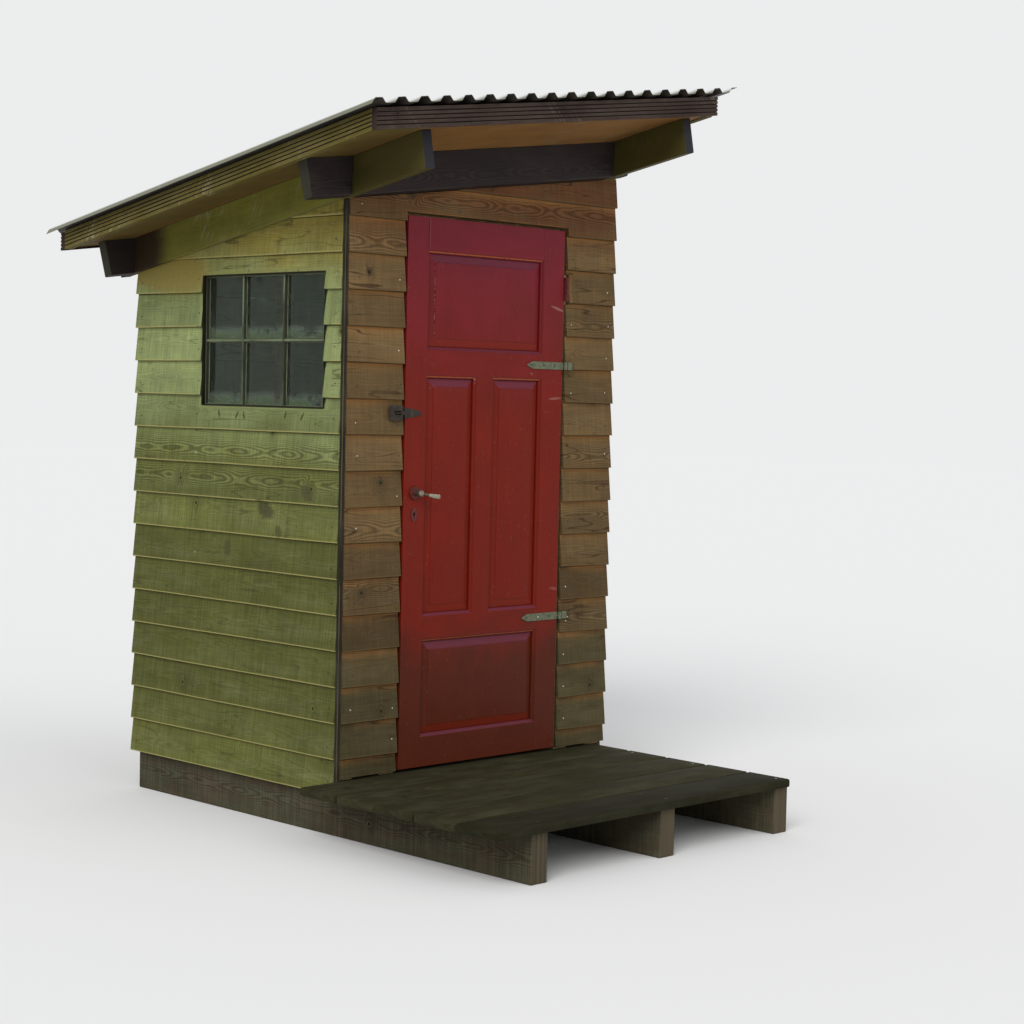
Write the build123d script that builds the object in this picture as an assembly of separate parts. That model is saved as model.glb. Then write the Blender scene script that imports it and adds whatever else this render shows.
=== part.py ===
from build123d import *
import math
import os

# A small wooden outhouse: lap-sided walls on posts, a panelled door on strap hinges with a
# hasp and a lever handle, a window in the left wall, a roof that rises to the right and
# falls to the back, and a plank step deck in front.
# Sizes are millimetres. The origin lies on the ground under the middle of the cabin,
# the door faces -Y and +Z is up. Left and right are as seen from the door side.

# Cabin, the roof beams lying above the doorway by a margin taken at the front left corner
cabin_width = 1390.0
cabin_depth = 1247.0
eaves_over_doorway = 25.0
roof_rise_angle = 7.68
roof_fall_angle = 10.32

# Bearers, floor and step deck
bearer_width = 75.0
bearer_height = 170.0
bearer_inset = 30.0
floor_thickness = 30.0
deck_plank_width = 190.0
deck_plank_gap = 6.0
deck_plank_count = 5
deck_tuck = 14.0
deck_left_reach = 160.0
deck_right_inset = 45.0
bearer_front_inset = 25.0

# Lap siding
board_exposure = 127.0
siding_drop = 51.0
siding_depth = 20.0
lap_step = 13.0
front_siding_lift = 8.0

# Posts and studs
corner_strip_width = 16.0
stud_depth = 70.0
stud_width = 45.0

# Door opening and leaf
door_left_edge = 295.0
door_right_edge = 290.0
leaf_bottom_gap = 12.0
leaf_height = 1988.0
leaf_thickness = 40.0
leaf_recess = 4.0
latch_gap = 8.0
hinge_gap = 18.0
head_gap = 12.0
head_height = 45.0
stop_width = 20.0
stop_gap = 6.0

# Door joinery, rails measured from the leaf's lower edge
lock_stile_width = 100.0
hinge_stile_width = 110.0
top_rail_width = 116.0
upper_rail_up = 1424.0
upper_rail_width = 89.0
lower_rail_up = 468.0
lower_rail_width = 80.0
bottom_rail_width = 108.0
mullion_width = 81.0
mullion_offset = 4.0
groove_width = 9.0
groove_depth = 12.0
tongue_side_gap = 0.2
tenon_end_gap = 1.0
panel_end_gap = 2.0
panel_bevel = 45.0
panel_field_recess = 6.0

# Strap hinges, measured from the lower edges of the rails they lie on
hinge_axis_offset = 10.0
hinge_axis_proud = 4.0
knuckle_radius = 7.0
pin_radius = 4.0
lower_strap_over_rail = 45.0
upper_strap_over_rail = 49.0
strap_height = 28.0
strap_thickness = 3.5
strap_reach = 206.0
strap_point = 30.0
strap_plate_reach = 46.0
knuckle_clearance = 2.0

# Old lift-off hinge left on the leaf, measured down from the leaf's top
old_hinge_drop = 177.0
old_hinge_height = 91.0
old_hinge_leaf = 3.0
old_hinge_depth = 30.0
old_hinge_notch = 12.0

# Lever handle and lock plates
lever_up = 998.0
lever_backset = 51.0
lever_length = 133.0
lever_reach = 40.0
lever_radius = 7.5
lever_bend = 16.0
rose_radius = 24.0
rose_thickness = 8.0
rose_rounding = 2.5
spindle_bore = 10.0
keyhole_drop = 78.0
escutcheon_width = 30.0
escutcheon_height = 50.0
escutcheon_thickness = 2.5
keyhole_radius = 4.0
keyhole_slot = 14.0

# Hasp and staple
hasp_up = 1285.0
hasp_axis_proud = 2.0
hasp_knuckle_radius = 4.5
hasp_pin_radius = 2.2
hasp_thickness = 3.0
hasp_leaf_thickness = 2.5
hasp_leaf_reach = 77.0
hasp_leaf_tip = 16.0
hasp_leaf_height = 40.0
hasp_reach = 76.0
hasp_plate_height = 54.0
hasp_plate_length = 62.0
hasp_corner_radius = 6.0
staple_offset = 38.0
staple_spacing = 20.0
staple_wire = 2.5
staple_bend_radius = 9.0
staple_reach = 22.0
staple_plate_width = 48.0
staple_plate_height = 50.0
staple_plate_thickness = 2.5
slot_clearance = 5.0
hasp_root_gap = 1.5

# Window, its opening measured down from the roof beams at the front left corner
window_front_edge = 112.0
window_width = 712.0
window_head_drop = 247.0
window_height = 483.0
window_frame_lap = 21.0
window_frame_width = 28.0
window_frame_depth = 50.0
glass_thickness = 4.0
glass_rebate = 8.0
glass_gap = 1.0
glass_setback = 16.0

# Roof beams
beam_width = 45.0
beam_depth = 135.0
side_beam_reach = 413.0
side_beam_back_inset = 10.0
left_beam_proud = 11.0
right_beam_inset = 34.0
stub_reach = 189.0
back_stub_reach = 114.0
stub_undercut_angle = 14.0
right_stub_reach = 5.0
lap_clearance = 0.3

# Roof deck, edge boards, battens and sheet
roof_front = 425.0
roof_back = 98.0
roof_left = 232.0
roof_right = 20.0
roof_board_thickness = 18.0
edge_board_thickness = 28.0
edge_board_height = 70.0
edge_board_drop = 4.0
edge_groove_count = 4
edge_groove_width = 5.0
edge_groove_depth = 4.0
batten_width = 45.0
batten_height = 51.0
batten_count = 4
batten_end_inset = 60.0
sheet_pitch = 99.0
sheet_wave_height = 18.5
sheet_thickness = 3.0
sheet_crest_width = 31.0
sheet_trough_width = 40.0
sheet_bend_radius = 5.0
sheet_left_reach = 300.0
sheet_right_reach = 136.0
sheet_front_reach = 470.0
sheet_back_reach = 163.0

# Clearance between pieces that rest on each other, and how far a cutter or an untrimmed
# piece reaches past the place where it is cut
seat_gap = 0.3
overcut = 10.0

# Places worked out from the sizes above
left = -cabin_width / 2
right = cabin_width / 2
front = -cabin_depth / 2
back = cabin_depth / 2
deck_top = bearer_height + floor_thickness
siding_low = deck_top - siding_drop
rise = math.tan(math.radians(roof_rise_angle))
fall = math.tan(math.radians(roof_fall_angle))
left_back = left + siding_depth
right_back = right - siding_depth
front_back = front + siding_depth
back_back = back - siding_depth
leaf_left = left + door_left_edge
leaf_right = right - door_right_edge
leaf_bottom = deck_top + leaf_bottom_gap
leaf_top = leaf_bottom + leaf_height
leaf_front = front + leaf_recess
leaf_rear = leaf_front + leaf_thickness
opening_left = leaf_left - latch_gap
opening_right = leaf_right + hinge_gap
opening_top = leaf_top + head_gap
wall_top = opening_top + eaves_over_doorway
hinge_x = leaf_right + hinge_axis_offset
hinge_y = front - hinge_axis_proud
strap_heights = (
    leaf_bottom + lower_rail_up + lower_strap_over_rail,
    leaf_bottom + upper_rail_up + upper_strap_over_rail,
)
old_hinge_high = leaf_top - old_hinge_drop
old_hinge_low = old_hinge_high - old_hinge_height
lever_x = leaf_left + lever_backset
lever_height = leaf_bottom + lever_up
keyhole_height = lever_height - keyhole_drop
hasp_x = (opening_left + leaf_left) / 2
hasp_y = front - hasp_axis_proud
hasp_height = leaf_bottom + hasp_up
window_low = wall_top - window_head_drop - window_height


def block(x, y, z):
    """A square-edged piece between two places along each axis."""
    size = Box(x[1] - x[0], y[1] - y[0], z[1] - z[0])
    return Pos((x[0] + x[1]) / 2, (y[0] + y[1]) / 2, (z[0] + z[1]) / 2) * size


def rod(start, direction, length, radius):
    """A round piece from a point along a direction."""
    plane = Plane(origin=start, z_dir=direction)
    return extrude(plane * Circle(radius), length)


def roof_height(x, y, above=0.0):
    """Height of the plane through the beams' undersides, or of one parallel to it."""
    return wall_top + rise * (x - left) - fall * (y - front) + above


def roof_plane(above=0.0):
    return Plane(
        origin=(0, 0, roof_height(0, 0, above)),
        x_dir=(1, 0, rise),
        z_dir=(-rise, fall, 1),
    )


def under_roof(solid):
    """The piece below the beams' undersides, without any sliver that the cut sets free."""
    below = split(solid, bisect_by=roof_plane(), keep=Keep.BOTTOM)
    return below.solids().sort_by(SortBy.VOLUME)[-1]


def post_span():
    """Height of a post from the deck to above every place where the roof cuts it."""
    return (deck_top, roof_height(right, front) + overcut)


def roof_slab(x, y, low, high):
    """A piece over a plan rectangle, between two planes parallel to the roof."""
    corners = [roof_height(px, py) for px in x for py in y]
    tall = block(x, y, (min(corners) + low - overcut, max(corners) + high + overcut))
    raised = split(tall, bisect_by=roof_plane(low), keep=Keep.TOP)
    return split(raised, bisect_by=roof_plane(high), keep=Keep.BOTTOM)


def siding_face(z):
    """How far the siding's outer face stands out from its back at a height."""
    part_of_course = ((z - siding_low) / board_exposure) % 1.0
    return siding_depth - lap_step * part_of_course


def siding_seat(low, high):
    """The siding's most proud place between two heights."""
    first = math.ceil((low - siding_low) / board_exposure)
    next_butt = siding_low + first * board_exposure
    if next_butt <= high:
        return siding_depth
    return siding_face(low)


def siding_section(low, high):
    """Points of the saw-toothed section of a wall, as distance out from its back and height."""
    points = [(0, low), (siding_face(low), low)]
    first = math.floor((low - siding_low) / board_exposure) + 1
    butt = siding_low + first * board_exposure
    while butt < high:
        points.append((siding_depth - lap_step, butt))
        points.append((siding_depth, butt))
        butt += board_exposure
    points.append((siding_face(high), high))
    points.append((0, high))
    return points


def siding_wall(start, along, outward, length, low):
    """Lap siding from a corner of its back face, running along the wall up to the roof."""
    high = roof_height(right, front) + overcut
    plane = Plane(origin=(start[0], start[1], 0), x_dir=outward, z_dir=along)
    upside = 1 if plane.y_dir.Z > 0 else -1
    points = [(out, upside * z) for out, z in siding_section(low, high)]
    section = make_face(Polyline(*points, close=True))
    return extrude(plane * section, length)


def make_bearers():
    """Three timbers on the ground, under the cabin and the step deck."""
    deck_front = front + deck_tuck - deck_plank_count * deck_plank_width
    deck_front -= (deck_plank_count - 1) * deck_plank_gap
    outer = cabin_width / 2 - bearer_inset - bearer_width / 2
    bearers = []
    for middle in (-outer, 0.0, outer):
        sides = (middle - bearer_width / 2, middle + bearer_width / 2)
        bearers.append(block(sides, (deck_front + bearer_front_inset, back_back), (0, bearer_height)))
    return Compound(bearers)


def make_deck_planks():
    planks = []
    plank_back = front + deck_tuck
    for _ in range(deck_plank_count):
        plank_front = plank_back - deck_plank_width
        sides = (left - deck_left_reach, right - deck_right_inset)
        planks.append(block(sides, (plank_front, plank_back), (bearer_height, deck_top)))
        plank_back = plank_front - deck_plank_gap
    return Compound(planks)


def make_floor():
    sides = (left_back, right_back)
    return block(sides, (front_back, back_back), (bearer_height, deck_top))


def make_corner_posts():
    """Four square posts in the corners, behind the siding."""
    height = post_span()
    posts = []
    for x in ((left_back, left_back + stud_depth), (right_back - stud_depth, right_back)):
        for y in ((front_back, front_back + stud_depth), (back_back - stud_depth, back_back)):
            posts.append(under_roof(block(x, y, height)))
    return Compound(posts)


def make_corner_strip():
    """A square strip in the front left corner, between the ends of the boards."""
    return under_roof(
        block(
            (left_back - corner_strip_width, left_back),
            (front_back - corner_strip_width, front_back),
            post_span(),
        )
    )


def make_door_post(inner, direction):
    """A post beside the doorway, with a rebate that stops the leaf."""
    outer = inner - direction * stud_depth
    body = block(sorted((inner, outer)), (front_back, front_back + stud_depth), post_span())
    stop_front = leaf_rear + stop_gap
    stop = block(
        sorted((inner, inner + direction * stop_width)),
        (stop_front, front_back + stud_depth),
        (deck_top, opening_top),
    )
    return under_roof(body + stop)


def make_door_head():
    sides = (opening_left, opening_right)
    depth = (front_back, front_back + stud_depth)
    head = block(sides, depth, (opening_top, opening_top + head_height))
    stop = block(
        (opening_left + stop_width, opening_right - stop_width),
        (leaf_rear + stop_gap, front_back + stud_depth),
        (opening_top - stop_width, opening_top),
    )
    return head + stop


def make_wall_studs():
    """Studs and trimmers: round the window, and midway along the right and back walls."""
    tall = post_span()
    post_edge = front_back + stud_depth
    frame_back = front + window_front_edge + window_width + window_frame_lap
    frame_low = window_low - window_frame_lap
    frame_high = window_low + window_height + window_frame_lap
    depth = (left_back, left_back + stud_depth)
    window_stud = block(depth, (frame_back, frame_back + stud_width), tall)
    sill = block(depth, (post_edge, frame_back), (frame_low - stud_width, frame_low))
    head = block(depth, (post_edge, frame_back), (frame_high, frame_high + stud_width))
    right_stud = block(
        (right_back - stud_depth, right_back), (-stud_width / 2, stud_width / 2), tall
    )
    back_stud = block(
        (-stud_width / 2, stud_width / 2), (back_back - stud_depth, back_back), tall
    )
    studs = (window_stud, sill, head, right_stud, back_stud)
    return Compound([under_roof(piece) for piece in studs])


def make_front_wall(x_low, x_high, z_low):
    """Siding on the door wall between two places."""
    wall = siding_wall((x_low, front_back), (1, 0, 0), (0, -1, 0), x_high - x_low, z_low)
    return under_roof(wall)


def make_left_wall():
    wall = siding_wall((left_back, back), (0, -1, 0), (-1, 0, 0), back - front_back, siding_low)
    window_y = front + window_front_edge
    hole = block(
        (left - overcut, left_back + overcut),
        (window_y, window_y + window_width),
        (window_low, window_low + window_height),
    )
    return under_roof(wall - hole)


def make_right_wall():
    start = (right_back, front_back)
    return under_roof(siding_wall(start, (0, 1, 0), (1, 0, 0), back - front_back, siding_low))


def make_back_wall():
    start = (right_back, back_back)
    length = right_back - left_back
    return under_roof(siding_wall(start, (-1, 0, 0), (0, 1, 0), length, siding_low))


def window_places():
    """The window frame's outer edges along the wall and in height."""
    y_low = front + window_front_edge - window_frame_lap
    y_high = front + window_front_edge + window_width + window_frame_lap
    z_low = window_low - window_frame_lap
    z_high = window_low + window_height + window_frame_lap
    return (y_low, y_high), (z_low, z_high)


def make_window_frame():
    y, z = window_places()
    depth = (left_back + seat_gap, left_back + seat_gap + window_frame_depth)
    outer = block(depth, (y[0] + seat_gap, y[1] - seat_gap), (z[0] + seat_gap, z[1] - seat_gap))
    sight_y = (y[0] + window_frame_width, y[1] - window_frame_width)
    sight_z = (z[0] + window_frame_width, z[1] - window_frame_width)
    frame = outer - block((depth[0] - overcut, depth[1] + overcut), sight_y, sight_z)
    glass_x = depth[0] + glass_setback
    rebate = block(
        (glass_x, depth[1] + overcut),
        (sight_y[0] - glass_rebate, sight_y[1] + glass_rebate),
        (sight_z[0] - glass_rebate, sight_z[1] + glass_rebate),
    )
    return frame - rebate


def make_window_glass():
    y, z = window_places()
    inset = window_frame_width - glass_rebate + glass_gap
    glass_x = left_back + seat_gap + glass_setback
    return block(
        (glass_x, glass_x + glass_thickness),
        (y[0] + inset, y[1] - inset),
        (z[0] + inset, z[1] - inset),
    )


def beam_end(beam, x, y, direction):
    """Cuts off a beam's end across a direction."""
    plane = Plane(origin=(x, y, roof_height(x, y)), z_dir=direction)
    return split(beam, bisect_by=plane, keep=Keep.BOTTOM)


def side_beam_sides():
    left_beam = (left - left_beam_proud, left - left_beam_proud + beam_width)
    right_beam = (right - right_beam_inset - beam_width, right - right_beam_inset)
    return left_beam, right_beam


def cross_beam_sides():
    front_beam = (front - seat_gap - beam_width, front - seat_gap)
    back_beam = (back + seat_gap, back + seat_gap + beam_width)
    return front_beam, back_beam


def make_side_beam(sides):
    """A beam along the slope, its upper half cut away where the cross beams lie."""
    reach = (front - side_beam_reach - beam_depth, back + roof_back - side_beam_back_inset)
    beam = roof_slab(sides, reach, 0, beam_depth)
    beam = beam_end(beam, sides[0], front - side_beam_reach, (0, -1, fall))
    for y in cross_beam_sides():
        notch = (y[0] - lap_clearance, y[1] + lap_clearance)
        across = (sides[0] - overcut, sides[1] + overcut)
        beam -= roof_slab(across, notch, beam_depth / 2, beam_depth + overcut)
    return beam


def make_cross_beam(y, left_reach):
    """A beam across the slope, its lower half cut away where the side beams lie."""
    sides = (left - left_reach - beam_depth, right + right_stub_reach)
    beam = roof_slab(sides, y, 0, beam_depth)
    undercut = math.tan(math.radians(stub_undercut_angle))
    beam = beam_end(beam, left - left_reach, y[0], (-1, 0, -undercut))
    for x in side_beam_sides():
        notch = (x[0] - lap_clearance, x[1] + lap_clearance)
        beam -= roof_slab(notch, (y[0] - overcut, y[1] + overcut), -overcut, beam_depth / 2)
    return beam


def roof_outline():
    return (left - roof_left, right + roof_right), (front - roof_front, back + roof_back)


def make_roof_boards():
    x, y = roof_outline()
    return roof_slab(x, y, beam_depth, beam_depth + roof_board_thickness)


def edge_board_section(outer, inner, low):
    """Section of a grooved plank, as place across it and height."""
    board = Pos((outer + inner) / 2, low + edge_board_height / 2) * Rectangle(
        abs(outer - inner), edge_board_height
    )
    side = 1 if inner > outer else -1
    pitch = edge_board_height / (edge_groove_count + 1)
    for number in range(1, edge_groove_count + 1):
        middle = outer + side * edge_groove_depth / 2
        board -= Pos(middle, low + number * pitch) * Rectangle(edge_groove_depth, edge_groove_width)
    return board


def make_edge_across(y_outer, y_inner):
    """A grooved plank along the front or back edge of the roof."""
    x, _ = roof_outline()
    start = x[0] - edge_board_thickness
    end = x[1] + edge_board_thickness
    low = roof_height(start, max(y_outer, y_inner), beam_depth - edge_board_drop)
    section = edge_board_section(y_outer, y_inner, low)
    plane = Plane(origin=(start, 0, 0), x_dir=(0, 1, 0), z_dir=(1, 0, 0))
    return extrude(plane * section, amount=(end - start) * math.hypot(1, rise), dir=(1, 0, rise))


def make_edge_along(x_outer, x_inner):
    """A grooved plank along the left or right edge of the roof."""
    _, y = roof_outline()
    low = roof_height(min(x_outer, x_inner), y[0], beam_depth - edge_board_drop)
    section = edge_board_section(x_outer, x_inner, low)
    plane = Plane(origin=(0, y[0], 0), x_dir=(1, 0, 0), z_dir=(0, -1, 0))
    return extrude(plane * section, amount=(y[1] - y[0]) * math.hypot(1, fall), dir=(0, 1, -fall))


def make_battens():
    x, y = roof_outline()
    low = beam_depth + roof_board_thickness
    sides = (x[0] + batten_end_inset, x[1] - batten_end_inset)
    first = y[0] + batten_end_inset
    step = (y[1] - y[0] - 2 * batten_end_inset) / (batten_count - 1)
    battens = []
    for number in range(batten_count):
        middle = first + number * step
        depth = (middle - batten_width / 2, middle + batten_width / 2)
        battens.append(roof_slab(sides, depth, low, low + batten_height).solid())
    return Compound(battens)


def sheet_wave_steps():
    """One wave's corners, as place across the wave and height above the trough."""
    flank = (sheet_pitch - sheet_crest_width - sheet_trough_width) / 2
    crest_end = flank + sheet_crest_width
    return (0, 0), (flank, sheet_wave_height), (crest_end, sheet_wave_height), (crest_end + flank, 0)


def make_roof_sheet():
    """A corrugated sheet whose waves run down the slope, ending on a crest at the right."""
    y_low = front - sheet_front_reach
    y_high = back + sheet_back_reach
    x_low = left - sheet_left_reach
    seat = beam_depth + roof_board_thickness + batten_height + seat_gap
    wave_count = math.floor((cabin_width + sheet_left_reach + sheet_right_reach) / sheet_pitch)
    corners = [
        (wave * sheet_pitch + along, up) for wave in range(wave_count) for along, up in sheet_wave_steps()
    ]
    corners += [(wave_count * sheet_pitch + along, up) for along, up in sheet_wave_steps()[:3]]
    points = [(x_low + along, roof_height(x_low + along, y_low, seat + up)) for along, up in corners]
    lower = FilletPolyline(*points, radius=sheet_bend_radius)
    upper = lower.moved(Location((0, sheet_thickness, 0)))
    outline = [lower, upper, Line(lower @ 0, upper @ 0), Line(lower @ 1, upper @ 1)]
    section = make_face(outline)
    plane = Plane(origin=(0, y_low, 0), x_dir=(1, 0, 0), z_dir=(0, -1, 0))
    return extrude(plane * section, amount=(y_high - y_low) * math.hypot(1, fall), dir=(0, 1, -fall))


def groove_span():
    middle = (leaf_front + leaf_rear) / 2
    return (middle - groove_width / 2, middle + groove_width / 2)


def tongue_span():
    span = groove_span()
    return (span[0] + tongue_side_gap, span[1] - tongue_side_gap)


def leaf_piece(x, z):
    return block(x, (leaf_front, leaf_rear), z)


def rail_places():
    """The door's rails from the top down, as low and high edges."""
    return {
        "top_rail": (leaf_top - top_rail_width, leaf_top),
        "upper_rail": (leaf_bottom + upper_rail_up, leaf_bottom + upper_rail_up + upper_rail_width),
        "lower_rail": (leaf_bottom + lower_rail_up, leaf_bottom + lower_rail_up + lower_rail_width),
        "bottom_rail": (leaf_bottom, leaf_bottom + bottom_rail_width),
    }


def mullion_sides():
    middle = (leaf_left + lock_stile_width + leaf_right - hinge_stile_width) / 2 - mullion_offset
    return (middle - mullion_width / 2, middle + mullion_width / 2)


def leaf_cut():
    """Height of a cutter that passes through the whole leaf."""
    return (leaf_bottom - overcut, leaf_top + overcut)


def make_lock_stile():
    edge = leaf_left + lock_stile_width
    stile = leaf_piece((leaf_left, edge), (leaf_bottom, leaf_top))
    stile -= block((edge - groove_depth, edge + overcut), groove_span(), leaf_cut())
    bore_start = (lever_x, leaf_front - overcut, lever_height)
    return stile - rod(bore_start, (0, 1, 0), leaf_thickness + 2 * overcut, spindle_bore)


def make_hinge_stile():
    edge = leaf_right - hinge_stile_width
    stile = leaf_piece((edge, leaf_right), (leaf_bottom, leaf_top))
    return stile - block((edge - overcut, edge + groove_depth), groove_span(), leaf_cut())


def make_rail(z, groove_above, groove_below):
    """A rail between the stiles, with stub tenons and grooves for the panels."""
    left_edge = leaf_left + lock_stile_width
    right_edge = leaf_right - hinge_stile_width
    rail = leaf_piece((left_edge, right_edge), z)
    cut_sides = (left_edge - overcut, right_edge + overcut)
    if groove_above:
        rail -= block(cut_sides, groove_span(), (z[1] - groove_depth, z[1] + overcut))
    if groove_below:
        rail -= block(cut_sides, groove_span(), (z[0] - overcut, z[0] + groove_depth))
    reach = groove_depth - tenon_end_gap
    tenon_z = (z[0] + groove_depth * groove_below, z[1] - groove_depth * groove_above)
    rail += block((left_edge - reach, left_edge), tongue_span(), tenon_z)
    rail += block((right_edge, right_edge + reach), tongue_span(), tenon_z)
    return rail


def make_mullion():
    rails = rail_places()
    low = rails["lower_rail"][1]
    high = rails["upper_rail"][0]
    x = mullion_sides()
    mullion = leaf_piece(x, (low, high))
    cut_height = (low - overcut, high + overcut)
    mullion -= block((x[0] - overcut, x[0] + groove_depth), groove_span(), cut_height)
    mullion -= block((x[1] - groove_depth, x[1] + overcut), groove_span(), cut_height)
    reach = groove_depth - tenon_end_gap
    tenon_x = (x[0] + groove_depth, x[1] - groove_depth)
    mullion += block(tenon_x, tongue_span(), (low - reach, low))
    mullion += block(tenon_x, tongue_span(), (high, high + reach))
    return mullion


def panel(x, z):
    """A raised panel: its edges sit in the grooves and both faces rise to a flat field."""
    reach = groove_depth - panel_end_gap
    tongue = tongue_span()
    solid = block((x[0] - reach, x[1] + reach), tongue, (z[0] - reach, z[1] + reach))
    middle_x = (x[0] + x[1]) / 2
    middle_z = (z[0] + z[1]) / 2
    width = x[1] - x[0] - 2 * seat_gap
    height = z[1] - z[0] - 2 * seat_gap
    fields = ((tongue[0], leaf_front + panel_field_recess), (tongue[1], leaf_rear - panel_field_recess))
    for foot, field in fields:
        wide = Plane(origin=(middle_x, foot, middle_z), x_dir=(1, 0, 0), z_dir=(0, -1, 0))
        narrow = Plane(origin=(middle_x, field, middle_z), x_dir=(1, 0, 0), z_dir=(0, -1, 0))
        base = wide * Rectangle(width, height)
        top = narrow * Rectangle(width - 2 * panel_bevel, height - 2 * panel_bevel)
        solid += loft([base, top])
    return solid


def make_door_panels():
    rails = rail_places()
    sides = (leaf_left + lock_stile_width, leaf_right - hinge_stile_width)
    mullion = mullion_sides()
    middle_z = (rails["lower_rail"][1], rails["upper_rail"][0])
    panels = [
        panel(sides, (rails["upper_rail"][1], rails["top_rail"][0])),
        panel((sides[0], mullion[0]), middle_z),
        panel((mullion[1], sides[1]), middle_z),
        panel(sides, (rails["bottom_rail"][1], rails["lower_rail"][0])),
    ]
    return Compound([piece.solid() for piece in panels])


def strap_hinge(height):
    """The moving strap of a hinge: a pointed strap with the middle knuckle."""
    low = height - strap_height / 2
    high = height + strap_height / 2
    third = strap_height / 3
    strap_back = leaf_front - seat_gap
    tip = hinge_x - strap_reach
    root = hinge_x - knuckle_radius - knuckle_clearance
    outline = Polyline(
        (root, low), (root, high), (tip + strap_point, high), (tip, height), (tip + strap_point, low),
        close=True,
    )
    plane = Plane(origin=(0, strap_back, 0), x_dir=(1, 0, 0), z_dir=(0, -1, 0))
    strap = extrude(plane * make_face(outline), strap_thickness)
    middle = (height - third / 2, height + third / 2)
    strap += block((root, hinge_x), (strap_back - strap_thickness, strap_back), middle)
    strap += rod((hinge_x, hinge_y, middle[0]), (0, 0, 1), third, knuckle_radius)
    bore = rod((hinge_x, hinge_y, low), (0, 0, 1), strap_height, pin_radius + seat_gap)
    return strap - bore


def make_strap_hinges():
    return Compound([strap_hinge(height).solid() for height in strap_heights])


def hinge_plate(height):
    """The fixed plate of a hinge on the siding, with the outer knuckles and the pin."""
    low = height - strap_height / 2
    high = height + strap_height / 2
    third = strap_height / 3
    seat = front_back - siding_seat(low, high) - seat_gap
    plate_front = front - seat_gap - strap_thickness
    root = hinge_x + knuckle_radius + knuckle_clearance
    end = hinge_x + strap_plate_reach
    plate = block((root, end), (plate_front, seat), (low, high))
    for start in (low, high - third + seat_gap):
        place = (start, start + third - seat_gap)
        plate += block((hinge_x, root), (plate_front, plate_front + strap_thickness), place)
        plate += rod((hinge_x, hinge_y, start), (0, 0, 1), third - seat_gap, knuckle_radius)
    return plate + rod((hinge_x, hinge_y, low), (0, 0, 1), strap_height, pin_radius)


def make_hinge_plates():
    return Compound([hinge_plate(height).solid() for height in strap_heights])


def make_old_hinge():
    """Half of an older lift-off hinge, still fixed to the edge of the leaf."""
    height = old_hinge_high - old_hinge_low
    barrel = rod((hinge_x, hinge_y, old_hinge_low), (0, 0, 1), height, knuckle_radius)
    edge = (leaf_right + seat_gap, leaf_right + seat_gap + old_hinge_leaf)
    leaf = block(edge, (hinge_y, leaf_front + old_hinge_depth), (old_hinge_low, old_hinge_high))
    return barrel + leaf


def make_lock_plates():
    """The roses on both faces of the leaf and the keyhole plate below."""
    solids = []
    for face, outward in ((leaf_front - seat_gap, -1), (leaf_rear + seat_gap, 1)):
        disc = rod((lever_x, face, lever_height), (0, outward, 0), rose_thickness, rose_radius)
        edge = disc.edges().filter_by(GeomType.CIRCLE).sort_by(Axis.Y)[0 if outward < 0 else -1]
        disc = fillet(edge, rose_rounding)
        collar = lever_radius + seat_gap
        disc -= rod((lever_x, face, lever_height), (0, outward, 0), rose_thickness, collar)
        solids.append(disc.solid())
    middle = (lever_x, leaf_front - seat_gap, keyhole_height)
    plane = Plane(origin=middle, x_dir=(1, 0, 0), z_dir=(0, -1, 0))
    plate = Ellipse(escutcheon_width / 2, escutcheon_height / 2)
    plate -= Pos(0, keyhole_radius) * Circle(keyhole_radius)
    plate -= Pos(0, keyhole_radius - keyhole_slot / 2) * Rectangle(keyhole_radius, keyhole_slot)
    solids.append(extrude(plane * plate, escutcheon_thickness).solid())
    return Compound(solids)


def lever_arm(face, outward):
    """One lever: out from the leaf, round a bend and along it."""
    out = face + outward * lever_reach
    path = FilletPolyline(
        (lever_x, face, lever_height), (lever_x, out, lever_height),
        (lever_x + lever_length - lever_radius, out, lever_height),
        radius=lever_bend,
    )
    section = Plane(origin=path @ 0, z_dir=path % 0) * Circle(lever_radius)
    arm = sweep(section, path=path)
    return arm + Pos(lever_x + lever_length - lever_radius, out, lever_height) * Sphere(lever_radius)


def make_lever():
    """Levers on both sides of the leaf, joined by the spindle through the stile."""
    lever = lever_arm(leaf_front, -1) + lever_arm(leaf_rear, 1)
    return lever + rod((lever_x, leaf_front, lever_height), (0, 1, 0), leaf_thickness, lever_radius)


def hasp_outline(x_root, x_end, root_height, end_height):
    return Polyline(
        (x_root, hasp_height - root_height / 2), (x_root, hasp_height + root_height / 2),
        (x_end, hasp_height + end_height / 2), (x_end, hasp_height - end_height / 2),
        close=True,
    )


def hasp_knuckle(low, high):
    return rod((hasp_x, hasp_y, low), (0, 0, 1), high - low, hasp_knuckle_radius)


def make_hasp_leaf():
    """The hasp's fixed leaf on the door, with the outer knuckles and the pin."""
    low = hasp_height - hasp_leaf_height / 2
    high = hasp_height + hasp_leaf_height / 2
    third = hasp_leaf_height / 3
    root = hasp_x + hasp_knuckle_radius + hasp_root_gap
    leaf_back = leaf_front - seat_gap
    plane = Plane(origin=(0, leaf_back, 0), x_dir=(1, 0, 0), z_dir=(0, -1, 0))
    outline = hasp_outline(root, hasp_x + hasp_leaf_reach, hasp_leaf_height, hasp_leaf_tip)
    leaf = extrude(plane * make_face(outline), hasp_leaf_thickness)
    for place in ((low, low + third - seat_gap), (high - third + seat_gap, high)):
        leaf += block((hasp_x, root), (leaf_back - hasp_leaf_thickness, leaf_back), place)
        leaf += hasp_knuckle(*place)
    return leaf + rod((hasp_x, hasp_y, low), (0, 0, 1), hasp_leaf_height, hasp_pin_radius)


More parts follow.
